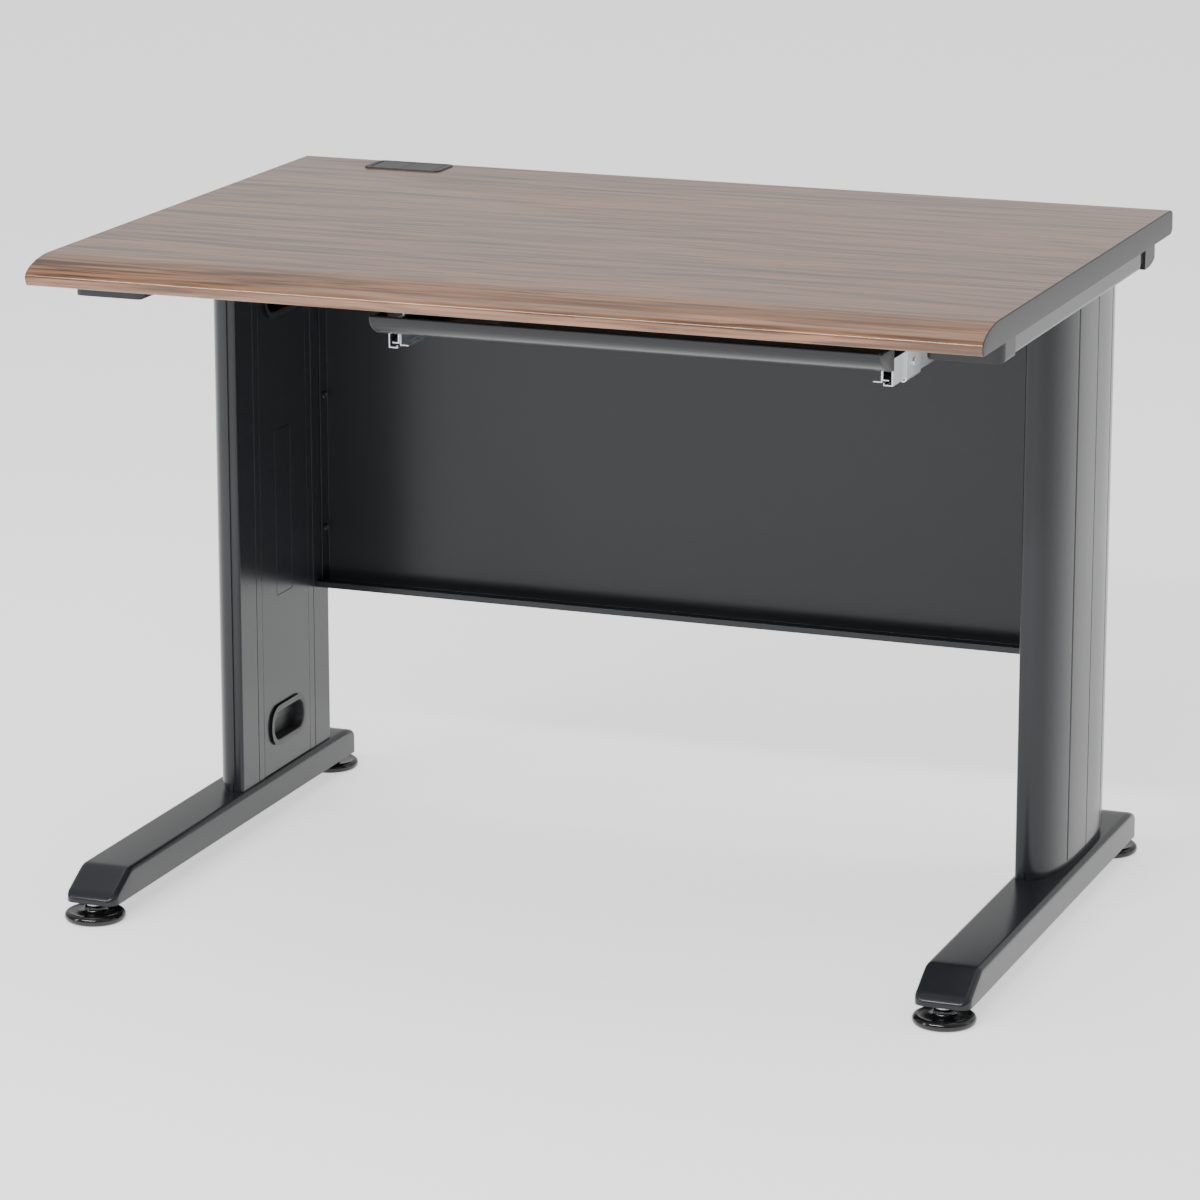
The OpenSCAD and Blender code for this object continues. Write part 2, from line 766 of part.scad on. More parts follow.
// Steel pan: a flat floor that curves up at the front, with side and rear edges
module tray_pan() {
    color(steel_grey) translate([tray_x, 0, 0]) difference() {
        union() {
            along_x(-tray_half + 1.6, tray_half - 1.6) lip_sheet();
            along_x(-tray_half + 1.6, tray_half - 1.6)
                translate([tray_front + 1.5, lip_top]) circle(1.5);
            box([-pan_half, lip_y - 1, tray_z], [pan_half, pan_rear, tray_z + sheet]);
            for (s = [-1, 1]) translate([s * (pan_half - sheet / 2), 0, 0])
                box([-sheet / 2, slide_front, tray_z], [sheet / 2, pan_rear, tray_z + 16]);
            box([-pan_half, pan_rear - sheet, tray_z], [pan_half, pan_rear, tray_z + 12]);
        }
        for (s = [-1, 1])
            box([s > 0 ? pan_half : -tray_half - 1, slide_front - 1.5, tray_z - 1],
                [s > 0 ? tray_half + 1 : -pan_half, lip_y + 5, lip_top + 5]);
    }
}

// Quarter-round cap that closes one end of the curved front
module tray_end(s) {
    color(abs_grey) tray_side(s) along_x(tray_half - 1.5, tray_half) intersection() {
        polygon(concat(lip_curve(0), [[lip_y, lip_top]]));
        translate([tray_front, tray_z - 1]) square([slide_front - 2 - tray_front, lip_h + 1]);
    }
}

module tray_end_left() { tray_end(-1); }
module tray_end_right() { tray_end(1); }

runner_in = pan_half + 0.2;
runner_low = tray_z - 13;
tray_screw_y = [slide_front + 30, slide_front + 120, slide_front + 215];
tray_screw_z = 627;

// Zinc channel under each side of the pan, which carries the inner slide member
module tray_runner(s) {
    color(zinc) tray_side(s) difference() {
        union() {
            box([runner_in, slide_front + 2, runner_low], [runner_in + sheet, pan_rear, tray_z - 0.2]);
            box([runner_in - 14, slide_front + 2, tray_z - 0.2 - sheet],
                [runner_in + 0.5, pan_rear, tray_z - 0.2]);
            box([runner_in - 8, slide_front + 2, runner_low],
                [runner_in + 0.5, pan_rear, runner_low + sheet]);
        }
        at_tray_screws() cylinder(r = screw_r + bore_gap, h = 20, center = true);
    }
}

module at_tray_screws() {
    for (y = tray_screw_y) translate([runner_in, y, tray_screw_z]) rotate([0, 90, 0]) children();
}

module tray_runner_left() { tray_runner(-1); }
module tray_runner_right() { tray_runner(1); }

// The slides: all sizes across are measured from the middle of the tray
slide_mid = 630;                 // height of the middle of the slides
inner_s = 252.8;                 // inner member's web
outer_s = 264;                   // outer member's back
inner_h = 17;
outer_h = 27;
metal = 1.2;

// Inner member: a channel that opens outwards
module slide_inner(s) {
    color(zinc) tray_side(s) difference() {
        union() {
            box([inner_s, slide_front, slide_mid - inner_h / 2],
                [inner_s + metal, slide_rear, slide_mid + inner_h / 2]);
            for (m = [0, 1]) translate([0, 0, slide_mid]) mirror([0, 0, m])
                box([inner_s, slide_front, inner_h / 2 - metal],
                    [inner_s + 7.2, slide_rear, inner_h / 2]);
        }
        at_tray_screws() cylinder(r = screw_r + bore_gap, h = 20, center = true);
    }
}

module slide_inner_left() { slide_inner(-1); }
module slide_inner_right() { slide_inner(1); }

// Outer member: a taller channel that opens inwards, with hooked lips
module slide_outer(s) {
    color(zinc) tray_side(s) difference() {
        union() {
            box([outer_s - metal, slide_front, slide_mid - outer_h / 2],
                [outer_s, slide_rear, slide_mid + outer_h / 2]);
            for (m = [0, 1]) translate([0, 0, slide_mid]) mirror([0, 0, m]) {
                box([outer_s - 9.6, slide_front, outer_h / 2 - metal],
                    [outer_s, slide_rear, outer_h / 2]);
                box([outer_s - 9.6, slide_front, outer_h / 2 - 3],
                    [outer_s - 8.6, slide_rear, outer_h / 2]);
            }
        }
        at_rivets() cylinder(r = screw_r + bore_gap, h = 20, center = true);
    }
}

module at_rivets() {
    for (y = bracket_y)
        translate([outer_s, y + bracket_d / 2, slide_mid]) rotate([0, 90, 0]) children();
}

module slide_outer_left() { slide_outer(-1); }
module slide_outer_right() { slide_outer(1); }

cage_y = slide_front + 145;
cage_len = 150;
ball_r = 1.6;
ball_off = (inner_h + outer_h - 2 * metal) / 4;   // height of the balls from the middle of the slide
ball_s = outer_s - 5.5;

// Ball cage: two strips of balls joined by a web, which travels half as far as the tray
module ball_cage(s) {
    color(zinc) tray_side(s) {
        box([outer_s - metal - 1.4, cage_y, slide_mid - ball_off],
            [outer_s - metal - 0.6, cage_y + cage_len, slide_mid + ball_off]);
        for (m = [-1, 1]) {
            translate([0, 0, slide_mid + m * ball_off])
                box([ball_s - 2.4, cage_y, -0.4], [outer_s - metal - 0.6, cage_y + cage_len, 0.4]);
            for (i = [0:6]) translate([ball_s, cage_y + 8 + i * 22, slide_mid + m * ball_off])
                sphere(r = ball_r, $fn = 24);
        }
    }
}

module ball_cage_left() { ball_cage(-1); }
module ball_cage_right() { ball_cage(1); }

bracket_t = 1.6;
bracket_out = 290;

// Two hanging brackets a side: a plate beside the slide, a flange under the top, a lip under the slide
module slide_brackets(s) {
    color(zinc) tray_side(s) for (y = bracket_y) difference() {
        union() {
            box([outer_s, y, slide_mid - 13.6], [outer_s + bracket_t, y + bracket_d, under]);
            box([outer_s, y, under - bracket_t], [bracket_out, y + bracket_d, under]);
            along_y(y, y + bracket_d) bracket_lip();
        }
        translate([outer_s, y + bracket_d / 2, slide_mid]) rotate([0, 90, 0])
            cylinder(r = screw_r + bore_gap, h = 20, center = true);
        for (e = [10, bracket_d - 10])
            translate([bracket_screw_s, y + e, under - 5]) cylinder(r = screw_r + 0.2, h = 10);
    }
}

// The lip's cross-section: it rolls under the slide and ends in a short upturn
module bracket_lip() {
    low = slide_mid - outer_h / 2 - 0.3;
    difference() {
        translate([outer_s - 2.2, low + 0.2]) circle(3.8);
        translate([outer_s - 2.2, low + 0.2]) circle(3.8 - bracket_t);
        translate([outer_s - 10, low]) square([20, 10]);
    }
    translate([outer_s, low]) square([bracket_t, 3]);
}

module slide_brackets_left() { slide_brackets(-1); }
module slide_brackets_right() { slide_brackets(1); }

// ---------- fasteners ----------

// Wood screw, head down, its origin where it meets the underside of the board
module wood_screw(sheet_t) {
    translate([0, 0, -sheet_t - 2]) cylinder(r = 4, h = 2);
    translate([0, 0, -sheet_t - 1]) cylinder(r = screw_r, h = sheet_t + 1 + screw_up);
}

module tabletop_screws() {
    color(zinc) {
        at_arm_screws() wood_screw(arm_t);
        for (x = modesty_screw_x) translate([x, top_flange_y, under]) wood_screw(sheet);
    }
}

module bracket_screws() {
    color(zinc) at_bracket_screws() wood_screw(bracket_t);
}

module bracket_rivets() {
    color(zinc) for (s = [-1, 1]) tray_side(s) at_rivets() {
        translate([0, 0, -metal]) cylinder(r = screw_r, h = metal + bracket_t + 1);
        translate([0, 0, bracket_t]) cylinder(r = 3.8, h = 1.6);
    }
}

module modesty_screws() {
    color(zinc) for (s = [0, 1]) mirror([s, 0, 0]) for (z = modesty_side_z)
        translate([modesty_half - sheet, modesty_side_y, z]) rotate([0, 90, 0]) {
            translate([0, 0, -2.6]) cylinder(r = 4.6, h = 2.6);
            translate([0, 0, -1]) cylinder(r = screw_r, h = 5);
        }
}

// Hexagon bolt along +Z, with its head below the origin
module bolt(grip) {
    translate([0, 0, -5]) cylinder(r = 7, h = 5, $fn = 6);
    translate([0, 0, -1]) cylinder(r = bolt_r, h = grip + 1);
}

module leg_bolts() {
    color(zinc) for (s = [-1, 1], y = leg_bolt_y)
        translate([s * bolt_x, y, beam_top - beam_t]) bolt(beam_t + 7);
}

module arm_bolts() {
    color(zinc) for (s = [-1, 1], y = leg_bolt_y)
        translate([s * bolt_x, y, arm_low + arm_t]) mirror([0, 0, 1]) bolt(arm_t + 9);
}

module tray_screws() {
    color(zinc) for (s = [-1, 1]) tray_side(s) at_tray_screws() {
        translate([0, 0, inner_s + metal - runner_in]) cylinder(r = 3.4, h = 1.6);
        cylinder(r = screw_r, h = inner_s + metal - runner_in + 1);
    }
}

tabletop_board();
edge_band_left();
edge_band_right();
edge_band_rear();
top_arm_left();
top_arm_right();
arm_cap_front_left();
arm_cap_front_right();
arm_cap_rear_left();
arm_cap_rear_right();
leg_shell_left();
leg_shell_right();
leg_channel_left();
leg_channel_right();
leg_cover_left();
leg_cover_right();
finger_pull_left();
finger_pull_right();
cable_port_left();
cable_port_right();
cover_hinge_pins();
leg_base_plate_left();
leg_base_plate_right();
leg_top_plate_left();
leg_top_plate_right();
base_beam_left();
base_beam_right();
level_inserts();
level_stem_front_left();
level_stem_front_right();
level_stem_rear_left();
level_stem_rear_right();
level_pad_front_left();
level_pad_front_right();
level_pad_rear_left();
level_pad_rear_right();
modesty_panel();
outlet_frame();
outlet_lid_left();
outlet_lid_right();
tray_pan();
tray_end_left();
tray_end_right();
tray_runner_left();
tray_runner_right();
slide_inner_left();
slide_inner_right();
ball_cage_left();
ball_cage_right();
slide_outer_left();
slide_outer_right();
slide_brackets_left();
slide_brackets_right();
tabletop_screws();
bracket_screws();
bracket_rivets();
modesty_screws();
leg_bolts();
arm_bolts();
tray_screws();
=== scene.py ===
"""Looks for a computer desk with a pull-out keyboard tray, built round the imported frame.

Metres, +X right, +Y to the back, +Z up, origin on the floor under the middle of the desk.
"""

import json
import math

import bmesh
import bpy
import numpy as np
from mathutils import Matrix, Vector


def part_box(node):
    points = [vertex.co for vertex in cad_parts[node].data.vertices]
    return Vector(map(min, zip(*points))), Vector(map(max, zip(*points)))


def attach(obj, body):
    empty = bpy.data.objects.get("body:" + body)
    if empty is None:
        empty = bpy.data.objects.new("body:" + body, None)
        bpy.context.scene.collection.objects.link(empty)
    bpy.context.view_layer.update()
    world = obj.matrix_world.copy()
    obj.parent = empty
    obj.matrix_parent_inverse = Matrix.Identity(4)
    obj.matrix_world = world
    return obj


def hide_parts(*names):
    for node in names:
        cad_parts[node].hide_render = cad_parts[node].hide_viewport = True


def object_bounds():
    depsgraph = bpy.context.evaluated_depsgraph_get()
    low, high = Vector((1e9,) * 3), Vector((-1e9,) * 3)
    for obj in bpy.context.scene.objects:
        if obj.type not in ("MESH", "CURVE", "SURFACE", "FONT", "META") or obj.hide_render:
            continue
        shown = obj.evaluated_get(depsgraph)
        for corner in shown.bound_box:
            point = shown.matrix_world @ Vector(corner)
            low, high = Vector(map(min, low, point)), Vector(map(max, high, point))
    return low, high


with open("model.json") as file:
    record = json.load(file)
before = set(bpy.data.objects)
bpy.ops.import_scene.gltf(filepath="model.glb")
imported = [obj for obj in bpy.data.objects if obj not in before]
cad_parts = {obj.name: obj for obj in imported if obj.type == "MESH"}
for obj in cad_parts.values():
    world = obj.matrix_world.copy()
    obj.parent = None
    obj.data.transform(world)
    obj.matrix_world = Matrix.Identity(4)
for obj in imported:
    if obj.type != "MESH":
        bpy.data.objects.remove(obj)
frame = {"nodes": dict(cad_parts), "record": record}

CAD_BOX = [list(corner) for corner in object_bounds()]

bl_info = {
    "name": "Computer desk looks",
    "version": (1, 0, 0),
    "blender": (4, 5, 0),
    "location": "3D View > Sidebar > Desk",
    "description": "Surfaces, finishes and studio for a computer desk with a keyboard tray",
    "category": "Object",
}

MM = 0.001
SIDES = {"left": -1, "right": 1}
TAU = 2 * math.pi
BODY_OF = {node: body for body, nodes in frame["record"]["behaviour"]["bodies"].items()
           for node in nodes}


# ---------- sizes and colours that a user would change ----------

def length(name, description, default):
    """A length in metres, shown with its unit."""
    return bpy.props.FloatProperty(
        name=name, description=description, default=default, unit="LENGTH", min=0.0)


def colour(name, description, default):
    """A linear colour."""
    return bpy.props.FloatVectorProperty(
        name=name, description=description, default=default, subtype="COLOR", size=3, min=0.0, max=1.0)


def angle(name, description, degrees):
    """An angle given in degrees."""
    return bpy.props.FloatProperty(
        name=name, description=description, default=math.radians(degrees), subtype="ANGLE")


class DeskSizes(bpy.types.PropertyGroup):
    """Sizes of the visible surfaces that the frame doesn't give by itself."""
    nose_depth: length("Nose depth", "From the crease in the top to its foremost point", 50 * MM)
    nose_height: length("Nose height", "From the working surface down to the foremost point", 17 * MM)
    nose_lean: length("Nose lean", "Part of the nose's height that falls in a straight slope", 2.5 * MM)
    nose_under: length("Nose underside", "Set-back of the lower edge under the nose", 4.5 * MM)
    band: length("Banding thickness", "Thickness of the edge banding", 1.2 * MM)
    band_round: length("Banding rounding", "Rounding along the outer edges of the banding", 0.8 * MM)
    corner: length("Corner radius", "Radius of the top's rear corners in plan", 1 * MM)
    rear: length("Rear rounding", "Rounding along the rear edge of the top, above and below", 10 * MM)
    seam: length("Seam depth", "Depth of the seam down the middle of a leg", 1.3 * MM)
    bead: length("Bead depth", "Depth of the two beads beside the seam", 0.9 * MM)
    beam_edge: length("Beam edge", "Rounding along the upper edges of a base beam", 6.5 * MM)
    beam_plan: length("Beam corner", "Rounding of a base beam's ends in plan", 11 * MM)
    sheet: length("Sheet", "Thickness of the tray's steel", 1.2 * MM)
    pitch: length("Thread pitch", "Pitch of the levelling feet", 1.5 * MM)


class DeskColours(bpy.types.PropertyGroup):
    """Colours of the finishes."""
    walnut_dark: colour("Walnut, dark", "Late growth and heart streaks", (0.060, 0.030, 0.019))
    walnut_mid: colour("Walnut, middle", "Main tone of the laminate", (0.180, 0.090, 0.053))
    walnut_light: colour("Walnut, light", "Early growth", (0.310, 0.172, 0.105))
    walnut_warm: colour("Walnut, warm", "Amber lines in the figure", (0.380, 0.180, 0.088))
    coat: colour("Powder coat", "Charcoal paint on the steel", (0.016, 0.0175, 0.0205))
    plastic: colour("Grey plastic", "Caps, cable outlet and pulls", (0.026, 0.027, 0.029))
    banding: colour("Edge banding", "Plastic strip round the top", (0.032, 0.032, 0.035))
    rubber: colour("Black plastic", "Pads of the levelling feet", (0.006, 0.006, 0.007))
    zinc: colour("Zinc", "Plated slides, screws and bolts", (0.66, 0.69, 0.71))
    floor: colour("Floor", "Studio floor", (0.88, 0.88, 0.88))


class DeskStudio(bpy.types.PropertyGroup):
    """Camera and light."""
    eye: bpy.props.FloatVectorProperty(
        name="Camera", description="Where the camera stands", default=(1.7966, -4.7541, 1.6164),
        subtype="TRANSLATION", unit="LENGTH", size=3)
    turn: angle("Turn", "Camera's turn about the upright", 20.875)
    tilt: angle("Tilt", "Camera's tilt below the horizon", 14.408)
    lens: bpy.props.FloatProperty(
        name="Lens", description="Focal length in millimetres on a 36 mm sensor", default=150.0, min=10.0)
    sky: bpy.props.FloatProperty(
        name="Surround", description="Brightness of the white surround", default=0.78, min=0.0)


# ---------- meshes ----------

def grid_faces(rows, columns, wrap):
    """Quads of a grid of points: each joins a point to its neighbours along and across."""
    row = np.arange(rows - 1)[:, None] * columns
    column = np.arange(columns if wrap else columns - 1)[None, :]
    after = (column + 1) % columns
    quads = np.stack([row + column, row + after, row + columns + after, row + columns + column], -1)
    return quads.reshape(-1, 4)


class Shape:
    """Closed shells gathered one by one, then made one mesh."""

    def __init__(self):
        self.points = []
        self.faces = []
        self.finishes = []
        self.count = 0

    def add(self, points, faces, finish=0):
        """Adds points and faces that count from them."""
        self.points.append(np.asarray(points, float).reshape(-1, 3))
        self.faces += [tuple(int(i) + self.count for i in face) for face in faces]
        self.finishes += [finish] * len(faces)
        self.count += len(self.points[-1])

    def loops(self, rings, ends=True, finish=0):
        """A stack of closed rings, rows x columns x 3, with a flat face over each end."""
        rings = np.asarray(rings, float)
        rows, columns = rings.shape[:2]
        faces = [tuple(f) for f in grid_faces(rows, columns, True)]
        if ends:
            faces.append(tuple(range(columns))[::-1])
            faces.append(tuple(range((rows - 1) * columns, rows * columns)))
        self.add(rings, faces, finish)

    def torus(self, rings, finish=0):
        """A stack of closed rings whose last ring joins its first, such as a sleeve's wall."""
        rings = np.asarray(rings, float)
        self.loops(np.concatenate([rings, rings[:1]]), ends=False, finish=finish)

    def object(self, name, materials, smooth=30.0):
        """The mesh as an object: doubles merged, faces outwards, edges sharper than smooth left sharp."""
        mesh = bpy.data.meshes.new(name)
        mesh.from_pydata(np.concatenate(self.points), [], self.faces)
        for material in materials:
            mesh.materials.append(material)
        mesh.polygons.foreach_set("material_index", self.finishes)
        tidy = bmesh.new()
        tidy.from_mesh(mesh)
        bmesh.ops.remove_doubles(tidy, verts=tidy.verts, dist=2e-6)
        bmesh.ops.dissolve_degenerate(tidy, edges=tidy.edges, dist=1e-7)
        bmesh.ops.recalc_face_normals(tidy, faces=tidy.faces)
        tidy.to_mesh(mesh)
        tidy.free()
        shade(mesh, smooth)
        return linked(name, mesh)


def linked(name, data):
    """An object for a mesh, a light or a camera, in the scene."""
    made = bpy.data.objects.new(name, data)
    bpy.context.scene.collection.objects.link(made)
    return made


def shade(mesh, smooth):
    """Smooth shading, with edges sharper than an angle in degrees left sharp."""
    mesh.polygons.foreach_set("use_smooth", [True] * len(mesh.polygons))
    mesh.set_sharp_from_angle(angle=math.radians(smooth))
    mesh.update()


def stands_for(made, node):
    """The piece rides on a CAD node's body and is shown in its place, the node hidden."""
    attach(made, BODY_OF[node])
    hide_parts(node)


def stand_in(shape, name, node, finish, smooth):
    """A shape of one finish, made an object that stands for a CAD node."""
    stands_for(shape.object(name, [finishes()[finish]], smooth), node)


def box_of(node):
    """Lowest and highest corner of a CAD node as arrays."""
    low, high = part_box(node)
    return np.array(low), np.array(high)


def arc(start, end, count):
    """Angles in radians from start to end degrees."""
    return np.radians(np.linspace(start, end, count))


def bow(u, v, radius, start, end, count):
    """Points (u, v) on an arc about a middle, from start to end degrees."""
    a = arc(start, end, count)
    return np.column_stack([u + radius * np.cos(a), v + radius * np.sin(a)])


def carried(outline, stations):
    """A closed outline in (y, z) repeated at stations along X."""
    return [np.column_stack([np.full(len(outline), x), outline]) for x in stations]


def vectors(items, key):
    """One vector of each vertex or face of a mesh, as rows of (x, y, z)."""
    found = np.empty(len(items) * 3)
    items.foreach_get(key, found)
    return found.reshape(-1, 3)


def rounded(half_u, half_v, radius, steps=8):
    """A rectangle with round corners as count x 2 points, anticlockwise: four quarter circles."""
    return np.concatenate([
        bow(u * (half_u - radius), v * (half_v - radius), radius, 90 * index, 90 * index + 90, steps)
        for index, (u, v) in enumerate(((1, 1), (-1, 1), (-1, -1), (1, -1)))])


def rounded_stack(levels, steps=8):
    """Rounded rectangles, one for each (half_u, half_v, radius, height), as rows x columns x 3."""
    rings = []
    for half_u, half_v, radius, height in levels:
        flat = rounded(half_u, half_v, max(radius, 0.05 * MM), steps)
        rings.append(np.column_stack([flat, np.full(len(flat), height)]))
    return np.array(rings)


def turned(profile, count=96):
    """A profile of (radius, height) turned about Z: rows are heights, columns are angles."""
    profile = np.asarray(profile, float)
    a = np.linspace(0, TAU, count, endpoint=False)
    radius = profile[:, 0][:, None]
    height = np.repeat(profile[:, 1][:, None], count, 1)
    return np.stack([radius * np.cos(a), radius * np.sin(a), height], -1)


def placed(points, origin, axes):
    """Points with local (u, v, w) carried to origin along three axes."""
    return np.asarray(origin) + np.asarray(points) @ np.asarray(axes, float)


# ---------- shader formulas ----------

class Value:
    """An output in a node tree. Arithmetic on it adds Math nodes, so a formula reads as one."""

    def __init__(self, shader, socket):
        self.shader = shader
        self.socket = socket

    def math(self, operation, *others):
        return self.shader.node(
            "ShaderNodeMath", {"operation": operation}, dict(enumerate((self, *others))))

    def __add__(self, other):
        return self.math("ADD", other)

    __radd__ = __add__

    def __mul__(self, other):
        return self.math("MULTIPLY", other)

    __rmul__ = __mul__

    def __sub__(self, other):
        return self.math("SUBTRACT", other)

    def __rsub__(self, other):
        return self.shader.node("ShaderNodeMath", {"operation": "SUBTRACT"}, {0: other, 1: self})

    def __pow__(self, other):
        return self.math("POWER", other)

    def between(self, low, high):
        """0 below low, 1 above high, smooth between."""
        return self.shader.node("ShaderNodeMapRange", {"interpolation_type": "SMOOTHSTEP"},
                                {"Value": self, "From Min": low, "From Max": high})


def scaled(tint, factor):
    """A colour made darker or lighter."""
    return tuple(c * factor for c in tint)


class Shader:
    """A material's node tree with one Principled surface."""

    def __init__(self, name, **constants):
        self.material = bpy.data.materials.new(name)
        self.material.use_nodes = True
        self.tree = self.material.node_tree
        self.tree.nodes.clear()
        self.surface = self.tree.nodes.new("ShaderNodeBsdfPrincipled")
        output = self.tree.nodes.new("ShaderNodeOutputMaterial")
        self.tree.links.new(self.surface.outputs[0], output.inputs["Surface"])
        self.set(**constants)

    def node(self, kind, settings=None, inputs=None, output=0):
        """Any node: its settings first, a ramp's stops among them, then values or links for its sockets."""
        made = self.tree.nodes.new(kind)
        for key, value in (settings or {}).items():
            if key == "stops":
                while len(made.color_ramp.elements) < len(value):
                    made.color_ramp.elements.new(0.5)
                for element, (place, tint) in zip(made.color_ramp.elements, value):
                    element.position = place
                    element.color = (*tint, 1.0)
            else:
                setattr(made, key, value)
        for key, value in (inputs or {}).items():
            self.join(made.inputs[key], value)
        return Value(self, made.outputs[output])

    def join(self, socket, value):
        """A link to a socket, or a constant on it."""
        if isinstance(value, Value):
            self.tree.links.new(value.socket, socket)
        elif isinstance(value, (tuple, list)) and len(value) == 3 and len(socket.default_value) == 4:
            socket.default_value = (*value, 1.0)
        else:
            socket.default_value = value

    def set(self, **values):
        """Sockets of the surface by name, with _ for a space."""
        for key, value in values.items():
            self.join(self.surface.inputs[key.replace("_", " ")], value)
        return self

    def place(self, stretch=(1, 1, 1), shift=(0, 0, 0), uv=None):
        """Object coordinates, or a UV map, moved and stretched."""
        if uv:
            source = self.node("ShaderNodeUVMap", {"uv_map": uv})
        else:
            source = self.node("ShaderNodeTexCoord", output="Object")
        return self.node(
            "ShaderNodeMapping", None, {"Vector": source, "Location": shift, "Scale": stretch})

    def noise(self, stretch, detail=3.0, rough=0.5, warp=0.0, shift=(0, 0, 0), uv=None):
        """Cloudy noise from 0 to 1, as fine as stretch says, along all axes alike or along each."""
        if not isinstance(stretch, tuple):
            stretch = (stretch, stretch, stretch)
        return self.node("ShaderNodeTexNoise", None, {
            "Vector": self.place(stretch, shift, uv), "Scale": 1.0, "Detail": detail,
            "Roughness": rough, "Distortion": warp})

    def axis(self, index, uv=None):
        """One coordinate: 0 is x or u, 1 is y or v, 2 is z."""
        return self.node("ShaderNodeSeparateXYZ", None, {0: self.place(uv=uv)}, output=index)

    def blend(self, factor, low, high):
        """A colour from low to high."""
        return self.node(
            "ShaderNodeMix", {"data_type": "RGBA"}, {0: factor, 6: low, 7: high}, output=2)

    def ramp(self, factor, *stops):
        """A colour ramp of (place, colour) stops."""
        return self.node("ShaderNodeValToRGB", {"stops": stops}, {"Fac": factor})

    def tones(self, factor, tint, low, high):
        """A colour from low times its tint to high times it."""
        return self.blend(factor, scaled(tint, low), scaled(tint, high))

    def bump(self, height, distance, strength=1.0, round_edges=0.0):
        """A normal from a height of 0 to 1 that is distance metres high.

        Edges look rounded to the radius round_edges, as paint and moulding leave them.
        """
        inputs = {"Height": height, "Distance": distance, "Strength": strength}
        if round_edges:
            inputs["Normal"] = self.node("ShaderNodeBevel", {"samples": 6}, {"Radius": round_edges})
        return self.node("ShaderNodeBump", None, inputs)


# ---------- finishes ----------

def walnut_laminate(tint):
    """Printed walnut under a satin overlay, its grain along u of the sheet's own map.

    Growth lines are a sine of v bent by slow noise; the other noises are drawn out along u.
    """
    paint = Shader("walnut_laminate", Specular_IOR_Level=0.1, Coat_Roughness=0.09, Coat_IOR=1.8)
    drift = paint.noise((1.5, 5.0, 1), 2.0, uv="sheet")
    sway = paint.noise((0.7, 2.2, 1), 1.0, shift=(3.1, 1.7, 0), uv="sheet")
    tone = paint.noise((1.8, 32.0, 1), warp=0.4, shift=(0.4, 2.0, 0), uv="sheet")
    vein = paint.noise((1.2, 25.0, 1), 2.0, warp=0.3, shift=(5.2, 4.0, 0), uv="sheet")
    streak = paint.noise((6.0, 230.0, 1), 4.0, 0.62, 0.3, (7.0, 0.0, 0), "sheet")
    fibre = paint.noise((16.0, 1100.0, 1), rough=0.7, uv="sheet")
    along, across = paint.axis(0, "sheet"), paint.axis(1, "sheet")
    bend = across * 34.0 + drift * 7.5 + sway * 9.0 + along * 0.8
    ring = (bend * TAU).math("SINE") * 0.5 + 0.5
    line = (ring ** 6.0) * tone.between(0.35, 0.65)
    amber = 1.0 - ((vein - 0.5).math("ABSOLUTE") * 16.0).between(0.0, 1.0)
    value = tone * 0.38 + streak * 0.44 + ring * 0.08 + fibre * 0.16 - 0.03
    body = paint.ramp(
        value, (0.41, tint.walnut_dark), (0.50, tint.walnut_mid), (0.61, tint.walnut_light))
    warmth = amber * 0.60 * streak.between(0.40, 0.58) + sway.between(0.42, 0.62) * 0.16
    warmed = paint.blend(warmth, body, tuple(tint.walnut_warm))
    lined = paint.blend(line * 0.40, warmed, tuple(tint.walnut_dark))
    pore = fibre.between(0.60, 0.70) * 0.45
    paint.set(
        Base_Color=paint.blend(pore, lined, tuple(tint.walnut_dark)),
        Roughness=fibre * 0.10 + tone * 0.06 + 0.28,
        Coat_Weight=0.48,
        Normal=paint.bump(fibre + streak * 0.5, 0.02 * MM, 0.5))
    return paint.material


def chipboard():
    """Pressed wood chips, seen where the board is cut: flakes of many tones from cell noise."""
    paint = Shader("chipboard", Specular_IOR_Level=0.2)
    chips = paint.node("ShaderNodeTexVoronoi", None,
                       {"Vector": paint.place((300, 300, 700)), "Scale": 1.0}, output="Color")
    tone = paint.node("ShaderNodeSeparateColor", None, {0: chips}) * 0.8 + paint.noise(900) * 0.2
    paint.set(
        Base_Color=paint.ramp(tone, (0.1, (0.16, 0.10, 0.055)), (0.5, (0.36, 0.25, 0.15)),
                              (0.9, (0.52, 0.40, 0.26))),
        Roughness=0.92,
        Normal=paint.bump(tone, 0.25 * MM))
    return paint.material


def backing_sheet():
    """Plain brown balancing paper on the underside, faintly mottled."""
    paint = Shader("backing_sheet", Specular_IOR_Level=0.35)
    cloud = paint.noise(9, 5.0, 0.65)
    fleck = paint.noise((60, 900, 60), 2.0)
    paint.set(
        Base_Color=paint.ramp(cloud * 0.7 + fleck * 0.3, (0.3, (0.070, 0.050, 0.038)),
                              (0.7, (0.105, 0.078, 0.060))),
        Roughness=cloud * 0.15 + 0.55,
        Normal=paint.bump(fleck, 0.02 * MM))
    return paint.material


def edge_banding(tint):
    """Dark ribbon of plastic with a fine drawn texture along it."""
    paint = Shader("edge_banding", Specular_IOR_Level=0.45)
    drawn = paint.noise((400, 60, 1600))
    cloud = paint.noise(30, 2.0)
    paint.set(
        Base_Color=paint.tones(cloud * 0.5 + drawn * 0.5, tint.banding, 0.86, 1.14),
        Roughness=drawn * 0.12 + 0.42,
        Normal=paint.bump(drawn, 0.012 * MM))
    return paint.material


